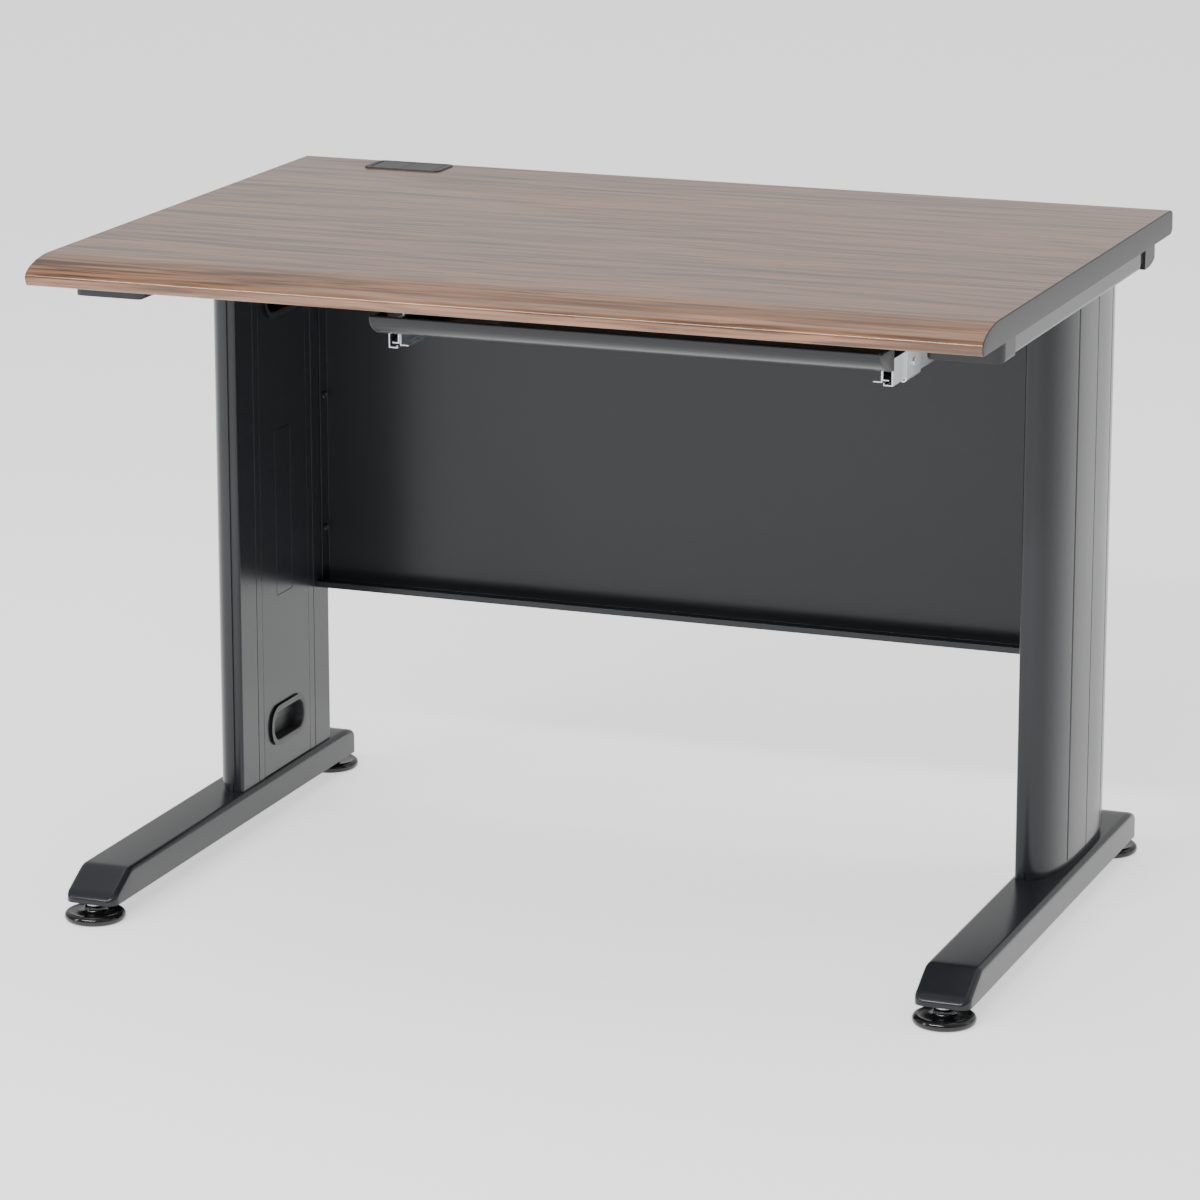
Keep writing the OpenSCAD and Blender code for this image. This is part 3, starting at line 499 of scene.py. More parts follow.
def powder_coat(tint, name="powder_coat", round_edges=0.0):
    """Satin charcoal powder coat: fine orange peel, paler grains, a little dust in the gloss."""
    paint = Shader(name, Specular_IOR_Level=0.36)
    peel = paint.noise(520, 2.0, 0.45)
    grain = paint.noise(2600, 2.0)
    cloud = paint.noise(7)
    speck = grain.between(0.60, 0.70)
    base = paint.tones(cloud, tint.coat, 0.90, 1.12)
    paint.set(
        Base_Color=paint.blend(speck * 0.35, base, scaled(tint.coat, 2.1)),
        Roughness=cloud * 0.05 + grain * 0.05 + 0.20,
        Normal=paint.bump(peel * 0.7 + grain * 0.3, 0.02 * MM, 0.3, round_edges))
    return paint.material


def moulded_plastic(tint, name="moulded_plastic", round_edges=0.0):
    """Charcoal plastic with the fine spark-eroded grain of a mould."""
    paint = Shader(name, Specular_IOR_Level=0.45)
    grain = paint.noise(1900, 2.0)
    cloud = paint.noise(22)
    paint.set(
        Base_Color=paint.tones(cloud, tint.plastic, 0.9, 1.1),
        Roughness=grain * 0.10 + cloud * 0.06 + 0.34,
        Normal=paint.bump(grain, 0.02 * MM, 0.8, round_edges))
    return paint.material


def gloss_plastic(tint):
    """Glossy black pads with faint flow lines and scuffs near the floor."""
    paint = Shader("gloss_plastic", Specular_IOR_Level=0.55)
    flow = paint.noise((60, 60, 420))
    low_down = 1.0 - paint.axis(2).between(1 * MM, 6 * MM)
    scuff = paint.noise((700, 700, 160)).between(0.52, 0.66) * low_down
    paint.set(
        Base_Color=paint.blend(scuff * 0.5, tuple(tint.rubber), (0.035, 0.035, 0.036)),
        Roughness=flow * 0.06 + scuff * 0.30 + 0.12,
        Normal=paint.bump(flow, 0.03 * MM, 0.5))
    return paint.material


def zinc_plate(tint, name="zinc_plate", passivated=0.0, round_edges=0.0):
    """Bright zinc on rolled steel: drawn lines, clouding, a violet to straw film if passivated."""
    paint = Shader(name, Metallic=1.0)
    drawn = paint.noise((1800, 40, 1800))
    cloud = paint.noise(70, 4.0, 0.6)
    film = paint.ramp(cloud, (0.30, (0.60, 0.56, 0.74)), (0.50, (0.70, 0.70, 0.66)),
                      (0.70, (0.62, 0.66, 0.78)))
    bright = paint.tones(cloud, tint.zinc, 0.86, 1.12)
    paint.set(
        Base_Color=paint.blend(passivated, bright, film),
        Roughness=cloud * 0.14 + drawn * 0.10 + 0.20,
        Normal=paint.bump(drawn, 0.01 * MM, 0.6, round_edges))
    return paint.material


FINISHES = {}


def finishes():
    """Every finish by name, made once."""
    if not FINISHES:
        tint = bpy.context.scene.desk_colours
        FINISHES.update(
            walnut_laminate=walnut_laminate(tint), chipboard=chipboard(), backing_sheet=backing_sheet(),
            edge_banding=edge_banding(tint), powder_coat=powder_coat(tint),
            powder_coat_folded=powder_coat(tint, "powder_coat_folded", 0.8 * MM),
            moulded_plastic=moulded_plastic(tint),
            moulded_cap=moulded_plastic(tint, "moulded_cap", 1.2 * MM),
            gloss_plastic=gloss_plastic(tint), zinc_plate=zinc_plate(tint),
            zinc_strip=zinc_plate(tint, "zinc_strip", 0.0, 0.25 * MM),
            zinc_passivated=zinc_plate(tint, "zinc_passivated", 0.55, 0.4 * MM))
    return FINISHES


# ---------- the top ----------

def nose_curve(size, high, steps=40):
    """Side view of the front, from the crease to the foremost point and round under it, as (y, z).

    A sine carries it forward; the drop is a short straight slope plus a quarter circle, and the
    underside is a quarter ellipse.
    """
    front, top = CAD_BOX[0][1], high[2]
    a = arc(0, 90, steps)
    s = np.sin(a)
    drop = size.nose_lean * s + (size.nose_height - size.nose_lean) * (1 - np.cos(a))
    upper = np.column_stack([front + size.nose_depth * (1 - s), top - drop])
    b = arc(0, 90, 14)[1:]
    board = high[2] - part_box("tabletop_board")[0].z
    lower = np.column_stack([front + size.nose_under * (1 - np.cos(b)),
                             top - size.nose_height - (board - size.nose_height) * np.sin(b)])
    return upper, lower


def rear_curve(size, low, high, first, last, steps=8):
    """The two rounded rear edges in side view, as (y, z) from the flat faces towards the rear."""
    a = np.linspace(first, last, steps)
    y = CAD_BOX[1][1] - size.rear * (1 - np.sin(a))
    fall = size.rear * (1 - np.cos(a))
    return np.column_stack([y, high[2] - fall]), np.column_stack([y, low[2] + fall])


class DESK_OT_worktop(bpy.types.Operator):
    """Make the formed top with its grain, and the banding round it"""
    bl_idname = "desk.worktop"
    bl_label = "Worktop"

    def execute(self, context):
        size = context.scene.desk_sizes
        low, high = box_of("tabletop_board")
        self.board(size, low, high)
        for side, s in SIDES.items():
            self.side_band(size, low, high, side, s)
        self.rear_band(size, low, high)
        return {"FINISHED"}

    def board(self, size, low, high):
        """The board: its side view carried along X, the rear corners drawn in by a quarter circle."""
        upper, lower = nose_curve(size, high)
        crease, foot = upper[0, 0], lower[-1, 0]
        guard = 0.6 * MM
        rear = high[1]
        over, under = rear_curve(size, low, high, 0.0, math.asin(1 - size.band / size.rear))
        section = np.concatenate([
            over[::-1], [[crease + guard, high[2]]], upper, lower, [[foot + guard, low[2]]], under])
        radius = size.corner - size.band
        a = arc(90, 0, 7)
        inset = radius * (1 - np.cos(a))
        end = high[0] - radius * (1 - np.sin(a))
        stations = np.concatenate([-end, end[::-1]])
        insets = np.concatenate([inset, inset[::-1]])
        rings = np.empty((len(stations), len(section), 3))
        rings[..., 0] = stations[:, None]
        rings[..., 1] = np.minimum(section[None, :, 0], rear - insets[:, None])
        rings[..., 2] = section[None, :, 1]
        shape = Shape()
        shape.loops(rings)
        layers = [finishes()[name] for name in ("walnut_laminate", "chipboard", "backing_sheet")]
        made = shape.object("worktop", layers, 20)
        self.cut_outlet(made, layers[1])
        mesh = made.data
        normals, centres = (vectors(mesh.polygons, key) for key in ("normal", "center"))
        wrapped = (centres[:, 1] > CAD_BOX[1][1] - size.rear) & (np.abs(normals[:, 0]) < 0.5)
        printed = (normals[:, 2] > 0.5) | (centres[:, 1] < foot) | wrapped
        under = (normals[:, 2] < -0.9) & ~printed
        mesh.polygons.foreach_set("material_index", np.where(printed, 0, np.where(under, 2, 1)))
        self.map_sheet(mesh, upper, lower, rear)
        shade(mesh, 20)
        stands_for(made, "tabletop_board")

    def cut_outlet(self, made, chips):
        """The hole for the cable outlet, as wide as its sleeve."""
        low, high = box_of("outlet_frame")
        middle, flange = (low + high) / 2, 3.5 * MM
        half = (high - low) / 2 - flange
        hole = Shape()
        radius, below, above = 7 * MM, low[2] - 40 * MM, high[2] + 10 * MM
        stack = rounded_stack([(half[0], half[1], radius, z) for z in (below, above)])
        hole.loops(stack + np.array([middle[0], middle[1], 0]))
        cutter = hole.object("outlet_cutter", [chips])
        cut = made.modifiers.new("outlet", "BOOLEAN")
        cut.operation, cut.solver, cut.object = "DIFFERENCE", "EXACT", cutter
        ready = made.evaluated_get(bpy.context.evaluated_depsgraph_get())
        mesh = bpy.data.meshes.new_from_object(ready)
        made.modifiers.clear()
        made.data = mesh
        mesh.name = made.name
        bpy.data.objects.remove(cutter)

    def map_sheet(self, mesh, upper, lower, rear):
        """The laminate laid flat: u along the desk, v from the rear over the top and round the nose."""
        mesh.update()
        curve = np.concatenate([upper, lower])
        steps = np.linalg.norm(np.diff(curve, axis=0), axis=1)
        way = np.concatenate([[0], np.cumsum(steps)]) + rear - upper[0, 0]
        x, y, z = vectors(mesh.vertices, "co").T
        nose = upper[-1, 1]
        on_slope = np.interp(-y, -upper[:, 0], way[:len(upper)])
        below = np.interp(-z, -lower[:, 1], way[len(upper):])
        v = np.where(y > upper[0, 0], rear - y, np.where(z >= nose, on_slope, below))
        corner = np.empty(len(mesh.loops), np.int32)
        mesh.loops.foreach_get("vertex_index", corner)
        sheet = mesh.uv_layers.new(name="sheet")
        sheet.data.foreach_set("uv", np.stack([x, v], -1)[corner].ravel())

    def band(self, name, node, top, bottom, outward, drop, rise):
        """A strip of banding: at each station a flat face with a quarter round above and below.

        top and bottom are the outer corners, outward points away from the board, and drop and rise
        point from each corner into the face. All are rows of (x, y, z).
        """
        size = bpy.context.scene.desk_sizes
        gap = np.linalg.norm(top - bottom, axis=1)[:, None]
        r = np.minimum(size.band_round, 0.45 * gap)
        columns = [top - outward * size.band]
        for edge, inward, angles in ((top, drop, arc(0, 90, 6)), (bottom, rise, arc(90, 0, 6))):
            for a in angles:
                columns.append(edge - outward * r * (1 - np.sin(a)) + inward * r * (1 - np.cos(a)))
        columns.append(bottom - outward * size.band)
        shape = Shape()
        shape.loops(np.stack(columns, 1))
        stand_in(shape, name, node, "edge_banding", 35)

    def side_band(self, size, low, high, side, s):
        """The strip down one end: the nose's outline, straight on, then round the rear edges."""
        upper, lower = nose_curve(size, high)
        under = lower[np.linspace(0, len(lower) - 1, len(upper[::2])).astype(int)]
        over_end, under_end = rear_curve(size, low, high, 0.0, math.radians(84), 14)
        top = np.concatenate([upper[::-1][::2], over_end])
        bottom = np.concatenate([under, under_end])
        outer, rear = s * CAD_BOX[1][0], CAD_BOX[1][1]

        def upright(outline):
            turn = np.clip((outline[:, 0] - rear) / size.corner + 1, 0, 1)
            level = np.sqrt(1 - turn ** 2)
            points = np.column_stack([outer - s * size.corner * (1 - level), outline])
            return points, np.column_stack([s * level, turn, 0 * turn])

        top_points, outward = upright(top)
        self.band("edge_trim_" + side, "edge_band_" + side, top_points, upright(bottom)[0], outward,
                  self.inward(top, 1), self.inward(bottom, -1))

    def inward(self, outline, upright):
        """For each point of an outline in (y, z), the direction at right angles to it, into the face."""
        along = np.gradient(outline, axis=0)
        along = along / np.maximum(np.linalg.norm(along, axis=1)[:, None], 1e-9)
        return np.column_stack([np.zeros(len(along)), along[:, 1] * upright, -along[:, 0] * upright])

    def rear_band(self, size, low, high):
        """The strip across the rear, between the corners, rounded with the edges."""
        over, under = rear_curve(size, low, high, math.asin(1 - size.band / size.rear), math.pi / 2)
        outline = np.concatenate([over, under[::-1]])
        reach = CAD_BOX[1][0] - size.corner
        shape = Shape()
        shape.loops(carried(outline, (-reach, reach)))
        stand_in(shape, "edge_trim_rear", "edge_band_rear", "edge_banding", 35)


# ---------- the legs ----------

def bent_sheet(shape, outer, inner, low, high):
    """A sheet bent along a line and carried upright: outer and inner are its two faces as (x, y) rows."""
    def wall(line, height):
        return np.column_stack([line, np.full(len(line), height)])
    rows = np.array([wall(outer, low), wall(outer, high), wall(inner, high), wall(inner, low),
                     wall(outer, low)])
    count = len(outer)
    faces = [tuple(f) for f in grid_faces(5, count, False)]
    for end in (0, count - 1):
        faces.append(tuple(end + count * row for row in range(4)))
    shape.add(rows, faces)


class DESK_OT_legs(bpy.types.Operator):
    """Make the bowed jackets of the legs, the finger pulls and the cable ports"""
    bl_idname = "desk.legs"
    bl_label = "Legs"

    def execute(self, context):
        size = context.scene.desk_sizes
        for side, s in SIDES.items():
            self.jacket(size, side, s)
            self.pull(side, s)
            self.port(side, s)
        return {"FINISHED"}

    def jacket(self, size, side, s):
        """Superellipse bow in plan: x = start + b sin(t)^(2/n), y = middle - a cos(t)^(2/n).

        A seam and two beads are pressed in as bell curves across it, with points packed round them.
        """
        low, high = box_of("leg_shell_" + side)
        near, far = sorted((abs(low[0]), abs(high[0])))
        middle, a = (low[1] + high[1]) / 2, (high[1] - low[1]) / 2
        n, start, thickness = 2.7, near - 2 * MM, 1.5 * MM
        b = far - start
        aside, seam_width, bead_width = 63 * MM, 0.55 * MM, 1.1 * MM
        dents = [(0.0, size.seam, seam_width), (-aside, size.bead, bead_width),
                 (aside, size.bead, bead_width)]
        first = math.asin(((near - start) / b) ** (n / 2))
        t = [np.linspace(first, math.pi - first, 181)]
        for place, _, width in dents:
            y = place + np.linspace(-5, 5, 41) * width
            t.append(np.arccos(-np.sign(y) * (np.abs(y) / a) ** (n / 2)))
        t = np.unique(np.round(np.concatenate(t), 6))
        c = np.cos(t)
        x = start + b * np.sin(t) ** (2 / n)
        offset = -a * np.sign(c) * np.abs(c) ** (2 / n)
        line = np.column_stack([x, offset])
        along = np.gradient(line, axis=0)
        along /= np.linalg.norm(along, axis=1)[:, None]
        normal = np.column_stack([along[:, 1], -along[:, 0]])
        dent = sum(depth * np.exp(-(((offset - place) / width) ** 2))
                   for place, depth, width in dents)
        outer = line - normal * dent[:, None]
        inner = line - normal * (dent[:, None] + thickness)
        for face in (outer, inner):
            face[:, 0] = np.maximum(face[:, 0], near) * s
            face[:, 1] += middle
        shape = Shape()
        bent_sheet(shape, outer, inner, low[2], high[2])
        stand_in(shape, "leg_jacket_" + side, "leg_shell_" + side, "powder_coat", 40)

    def bezel(self, node, side, s):
        """Half width and half height of a bezel, its middle on the cover's face, its axes along Y, Z
        and into the knee space, and how far it stands proud of the face and reaches behind it."""
        low, high = box_of(node)
        half = (high - low) / 2
        face = min(abs(corner.x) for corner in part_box("leg_cover_" + side))
        near, far = sorted((abs(low[0]), abs(high[0])))
        origin = (s * face, (low[1] + high[1]) / 2, (low[2] + high[2]) / 2)
        axes = [(0, 1, 0), (0, 0, 1), (-s, 0, 0)]
        return half[1], half[2], origin, axes, face - near, far - face

    def rim(self, proud):
        """Section of a bezel as (inset, height): a domed rim outside, a small round over its inner edge."""
        a, width, edge = arc(0, 90, 7), 4.6 * MM, 1.2 * MM
        dome = np.column_stack([width * (1 - np.cos(a)), proud * np.sin(a)])
        return np.concatenate([dome, bow(width + edge, proud - edge, edge, 90, 0, 5)])

    def levels(self, half_u, half_v, section):
        """Rounded rectangles for a section of (inset, height)."""
        radius = half_v - 2 * MM
        return [(half_u - i, half_v - i, radius - i, w) for i, w in section]

    def pull(self, side, s):
        """Finger cup: sleeve, domed rim, steep walls and a floor whose upper half stands a little proud."""
        node = "finger_pull_" + side
        half_u, half_v, origin, axes, proud, deep = self.bezel(node, side, s)
        floor, fillet = -deep + 1.4 * MM, 1.5 * MM
        section = np.concatenate([
            [[5.2 * MM, -deep], [4.2 * MM, 1 * MM - deep], [4.2 * MM, 0], [0, 0]],
            self.rim(proud), bow(8.8 * MM, floor + fillet, fillet, 180, 270, 5)])
        shape = Shape()
        shape.loops(placed(rounded_stack(self.levels(half_u, half_v, section)), origin, axes))
        plate = rounded_stack(self.levels(half_u, half_v, [
            (7.2 * MM, floor - 0.5 * MM), (7.2 * MM, floor + 1.6 * MM), (7.6 * MM, floor + 2.0 * MM)]))
        plate[..., 1] = np.maximum(plate[..., 1], np.array([0, 0, 0.4 * MM])[:, None])
        shape.loops(placed(plate, origin, axes))
        stand_in(shape, "pull_cup_" + side, node, "moulded_plastic", 38)

    def port(self, side, s):
        """Ring round the cable hole: the same rim, on a short sleeve."""
        node = "cable_port_" + side
        half_u, half_v, origin, axes, proud, deep = self.bezel(node, side, s)
        section = np.concatenate([
            [[7.0 * MM, -deep], [4.2 * MM, -deep], [4.2 * MM, 0], [0, 0]], self.rim(proud)])
        shape = Shape()
        shape.torus(placed(rounded_stack(self.levels(half_u, half_v, section)), origin, axes))
        stand_in(shape, "port_ring_" + side, node, "moulded_plastic", 38)


# ---------- the feet ----------

class DESK_OT_feet(bpy.types.Operator):
    """Make the base beams, the levelling pads and their threaded stems"""
    bl_idname = "desk.feet"
    bl_label = "Feet"

    def execute(self, context):
        size = context.scene.desk_sizes
        for side in SIDES:
            self.beam(size, side)
        for node in frame["nodes"]:
            if node.startswith("level_pad"):
                self.pad(node)
            if node.startswith("level_stem"):
                self.stem(node, size.pitch)
        return {"FINISHED"}

    def beam(self, size, side):
        """Pressed channel with closed ends. At a distance d < r from either end, its half width is
        w - r (1 - sqrt(1 - (1 - d / r)^2)).

        The top is the lowest of the flat top, the slope at the toe and the fall at the heel, blended
        where they meet, and each tip's upper edge comes down along a quarter ellipse.
        """
        low, high = box_of("base_beam_" + side)
        x, w = (low[0] + high[0]) / 2, (high[0] - low[0]) / 2
        toe, toe_rise, slope_run, slope_loss = 2 * MM, 9.4 * MM, 39 * MM, 10 * MM
        heel, heel_fall, toe_blend, heel_blend = 22 * MM, 0.36, 1.6 * MM, 3 * MM
        blunt_toe, blunt_heel, tip, thickness = 4 * MM, 6 * MM, 9 * MM, 2 * MM
        tight, toe_end, heel_end = 8 * MM, 70 * MM, 40 * MM

        def face(inset):
            """The outer face, or the inner one at an inset: rows of points across the channel."""
            front, rear = low[1] + inset, high[1] - inset
            near = np.concatenate([tight * (1 - np.cos(arc(0, 90, 9))), np.linspace(9, 62, 36) * MM])
            at_toe, at_heel = front + near, (rear - near[:28])[::-1]
            y = np.concatenate([at_toe, np.linspace(front + toe_end, rear - heel_end, 12), at_heel])
            ahead, behind = y - front, rear - y
            nearest = np.minimum(ahead, behind)
            slope = low[2] + toe_rise + (ahead - toe) * (high[2] - low[2] - slope_loss) / slope_run
            fall = high[2] + (behind - heel) * heel_fall
            flat = self.softer(self.softer(slope, high[2], toe_blend), fall, heel_blend) - inset
            blunt = low[2] + np.where(ahead < behind, blunt_toe, blunt_heel)
            top = blunt + (flat - blunt) * self.quarter(nearest / tip)
            plan = size.beam_plan - inset
            half = w - inset - plan * (1 - self.quarter(nearest / plan))
            r = np.minimum(size.beam_edge - inset, 0.5 * (top - low[2]))
            a, b = arc(180, 90, 8), arc(90, 0, 8)
            foot = [low[2] + 0 * top]
            across = ([-half] + [-half + r + r * np.cos(t) for t in a]
                      + [half - r + r * np.cos(t) for t in b] + [half])
            up = foot + [top - r + r * np.sin(t) for t in np.concatenate([a, b])] + foot
            along = np.broadcast_to(y[:, None], (len(y), len(up)))
            return np.stack([x + np.stack(across, 1), along, np.stack(up, 1)], -1)

        outer, inner = face(0.0), face(thickness)
        rows, columns = outer.shape[:2]
        half = rows * columns
        faces = [tuple(f) for f in grid_faces(rows, columns, False)]
        faces += [tuple(half + i for i in reversed(f)) for f in faces]
        for start, step in ((0, -1), ((rows - 1) * columns, 1)):
            loop = tuple(range(start, start + columns))[::step]
            faces += [loop, tuple(half + j for j in loop[::-1])]
            faces.append((start, start + columns - 1, half + start + columns - 1, half + start))
        for j in (0, columns - 1):
            for i in range(rows - 1):
                a, b = i * columns + j, (i + 1) * columns + j
                faces.append((a, b, half + b, half + a))
        shape = Shape()
        shape.add(np.concatenate([outer.reshape(-1, 3), inner.reshape(-1, 3)]), faces)
        stand_in(shape, "foot_beam_" + side, "base_beam_" + side, "powder_coat", 50)

    def quarter(self, part):
        """Height of a quarter circle at a part of its radius: 0 at 0, 1 from 1 on."""
        return np.sqrt(1 - (1 - np.clip(part, 0, 1)) ** 2)

    def softer(self, a, b, width):
        """The lower of two heights, rounded where they meet."""
        return 0.5 * (a + b - np.sqrt((a - b) ** 2 + width ** 2))

    def pad(self, node):
        """Turned profile: flat sole, rounded rim, a shallow dish and a cone up to the stem."""
        low, high = box_of(node)
        middle, r, top = (low + high) / 2, (high[0] - low[0]) / 2, high[2]
        stem = 5.05 * MM
        profile = np.concatenate([
            [[0, 0], [r - 8 * MM, 0]],
            bow(r - 5 * MM, 5 * MM, 5 * MM, -90, 0, 8),
            bow(r - 4.8 * MM, 5.2 * MM, 4.8 * MM, 0, 105, 12),
            [[r - 8.5 * MM, 9.3 * MM], [17.0 * MM, 9.6 * MM]],
            bow(14.8 * MM, 13.4 * MM, 3.8 * MM, 255, 180, 6),
            bow(10.2 * MM, top - 0.8 * MM, 0.8 * MM, 0, 90, 4),
            [[stem, top], [stem, 3 * MM], [0, 3 * MM]]])
        points = turned(profile)
        points[..., :2] += middle[:2]
        shape = Shape()
        shape.loops(points, ends=False)
        stand_in(shape, node.replace("level_pad", "foot_pad"), node, "gloss_plastic", 35)

    def stem(self, node, pitch):
        """Threaded rod: the radius rises and falls as a triangle wave of height over pitch minus angle."""
        low, high = box_of(node)
        middle, r = (low + high) / 2, (high[0] - low[0]) / 2
        rows = int((high[2] - low[2]) / pitch * 8)
        z = np.linspace(low[2], high[2], rows)[:, None]
        a = np.linspace(0, TAU, 32, endpoint=False)[None, :]
        wave = 1 - np.abs(((z / pitch - a / TAU) % 1.0) * 2 - 1)
        fade = np.clip(np.minimum(z - low[2], high[2] - z) / (1.2 * pitch), 0, 1)
        thread = 0.7 * MM
        radius = r - thread * (1 - wave * fade)
        points = np.stack([middle[0] + radius * np.cos(a), middle[1] + radius * np.sin(a),
                           np.broadcast_to(z, radius.shape)], -1)
        shape = Shape()
        shape.loops(points)
        stand_in(shape, node.replace("level_stem", "foot_screw"), node, "zinc_plate", 50)


# ---------- the keyboard tray ----------

def folded(path, thickness):
    """Closed outline of a bent sheet: a path and its offset to the left, as rows of two."""
    path = np.asarray(path, float)
    along = np.gradient(path, axis=0)
    along /= np.linalg.norm(along, axis=1)[:, None]
    left = np.column_stack([-along[:, 1], along[:, 0]])
    return np.concatenate([path, (path + left * thickness)[::-1]])


LIP_DEPTH = 50 * MM
LIP_HEIGHT = 24 * MM


class DESK_OT_tray(bpy.types.Operator):
    """Make the keyboard tray: the rolled front, the floor with its edges, and the end plates"""
    bl_idname = "desk.tray"
    bl_label = "Keyboard tray"

    def execute(self, context):
        size = context.scene.desk_sizes
        low, high = box_of("tray_pan")
        middle = (low[0] + high[0]) / 2
        self.pan(size, low, high, middle)
        for side, s in SIDES.items():
            self.end(side, s, middle)
        return {"FINISHED"}

    def lip(self, low, high, roll):
        """The curved front as (y, z): a quarter ellipse from the floor up to the front edge."""
        height = high[2] - roll - low[2]
        a = arc(0, 90, 33)
        return np.column_stack([low[1] + LIP_DEPTH * (1 - np.sin(a)), low[2] + height * (1 - np.cos(a))])

    def pan(self, size, low, high, middle):
        """Front: the lip and a rolled hem carried across. Floor: a channel folded up round the rest."""
        roll = 1.5 * MM
        curve = self.lip(low, high, roll)
        cut = low[1] + 43.5 * MM
        front = curve[curve[:, 0] < cut - 0.5 * MM]
        front = np.concatenate([[[cut, low[2] + 0.2 * MM]], front])
        rolled = bow(low[1] + roll, high[2] - roll, roll, 180, -50, 13)
        inner = folded(front, -size.sheet)[len(front):]
        inner = inner[inner[:, 1] < high[2] - 2.2 * roll]
        outline = np.concatenate([front, rolled, inner])
        half = (high[0] - low[0]) / 2
        shape = Shape()
        shape.loops(carried(outline, (middle - half, middle + half)))
        wide, tall, rear_tall, bend = 251.2 * MM, 16 * MM, 12 * MM, 2.0 * MM
        corner = bow(bend - wide, low[2] + bend, bend, 180, 270, 6)
        path = np.concatenate([[[-wide, low[2] + tall], [-wide, low[2] + 1.5 * bend]], corner,
                               [[-wide + 2 * bend, low[2]], [0, low[2]]]])
        mirrored = path[::-1][1:] * np.array([-1, 1])
        channel = folded(np.concatenate([path, mirrored]), size.sheet)
        shape.loops([np.column_stack([channel[:, 0] + middle, np.full(len(channel), y), channel[:, 1]])
                     for y in (cut, high[1])])
        face, ends = high[1] - size.sheet, (middle - wide + bend, middle + wide - bend)
        back = np.array([[high[1], low[2]], [high[1], low[2] + rear_tall],
                         [face, low[2] + rear_tall], [face, low[2]]])
        shape.loops(carried(back, ends))
        stand_in(shape, "keyboard_shelf", "tray_pan", "powder_coat", 35)

    def end(self, side, s, middle):
        """End plate: the lip's outline closed behind, with a quarter round along its outer edge."""
        low, high = box_of("tray_end_" + side)
        a = arc(0, 90, 25)
        pan = box_of("tray_pan")[0]
        curve = np.column_stack([pan[1] + LIP_DEPTH * (1 - np.sin(a)),
                                 pan[2] + LIP_HEIGHT * (1 - np.cos(a))])
        curve = curve[curve[:, 0] <= high[1] + 1e-6]
        outline = np.concatenate([[[high[1], pan[2] + LIP_HEIGHT], [high[1], curve[0, 1]]], curve])
        centre = outline.mean(0)
        rings = []
        near, far = sorted((low[0], high[0]), key=lambda x: abs(x - middle))
        away = outline - centre
        away /= np.linalg.norm(away, axis=1)[:, None]
        for x, shrink in ((near, 0.0), (far - s * 0.5 * MM, 0.0), (far - s * 0.15 * MM, 0.35 * MM),
                          (far, 0.9 * MM)):
            rings += carried(outline - away * shrink, (x,))
        shape = Shape()
        shape.loops(rings)
        stand_in(shape, "shelf_end_" + side, "tray_end_" + side, "moulded_plastic", 35)


# ---------- the cable outlet and the fasteners ----------

class DESK_OT_outlet(bpy.types.Operator):
    """Make the frame of the cable outlet"""
    bl_idname = "desk.outlet"
    bl_label = "Cable outlet"

    def execute(self, context):
        low, high = box_of("outlet_frame")
        top = box_of("tabletop_board")[1][2]
        half_u, half_v = (high[0] - low[0]) / 2, (high[1] - low[1]) / 2
        proud = high[2] - top
        hole_u, hole_v = half_u - 6.65 * MM, half_v - 6.15 * MM
        a, corner, edge = arc(0, 90, 6), 9 * MM, 0.3 * MM
        rim = [(half_u - i, half_v - i, corner - i, top + h) for i, h in
               zip(1.5 * MM * (1 - np.cos(a)), edge + (proud - edge) * np.sin(a))]
        sleeve = (half_u - 3.7 * MM, half_v - 3.7 * MM, 6.8 * MM)
        levels = [
            (hole_u, hole_v, 0.8 * MM, low[2]), (*sleeve, low[2]), (*sleeve, top),
            (half_u, half_v, corner, top), *rim,
            (hole_u + 0.5 * MM, hole_v + 0.5 * MM, 1.3 * MM, high[2]),
            (hole_u + 0.15 * MM, hole_v + 0.15 * MM, 0.95 * MM, high[2] - 0.15 * MM),
            (hole_u, hole_v, 0.8 * MM, high[2] - 0.5 * MM)]
        middle = np.array([(low[0] + high[0]) / 2, (low[1] + high[1]) / 2, 0])
        shape = Shape()
        shape.torus(rounded_stack(levels) + middle)
        stand_in(shape, "outlet_rim", "outlet_frame", "moulded_plastic", 35)
        return {"FINISHED"}


def solids_of(node, gap=19.5 * MM):
    """Boxes of a node's separate solids: its points are parted wherever an axis shows a wide gap."""
    groups, found = [vectors(frame["nodes"][node].data.vertices, "co")], []
    while groups:
        group = groups.pop()
        for axis in range(3):
            order = group[np.argsort(group[:, axis])]
            breaks = np.flatnonzero(np.diff(order[:, axis]) > gap) + 1
            if len(breaks):
                groups += np.split(order, breaks)
                break
        else:
            found.append((group.min(0), group.max(0)))
    return found


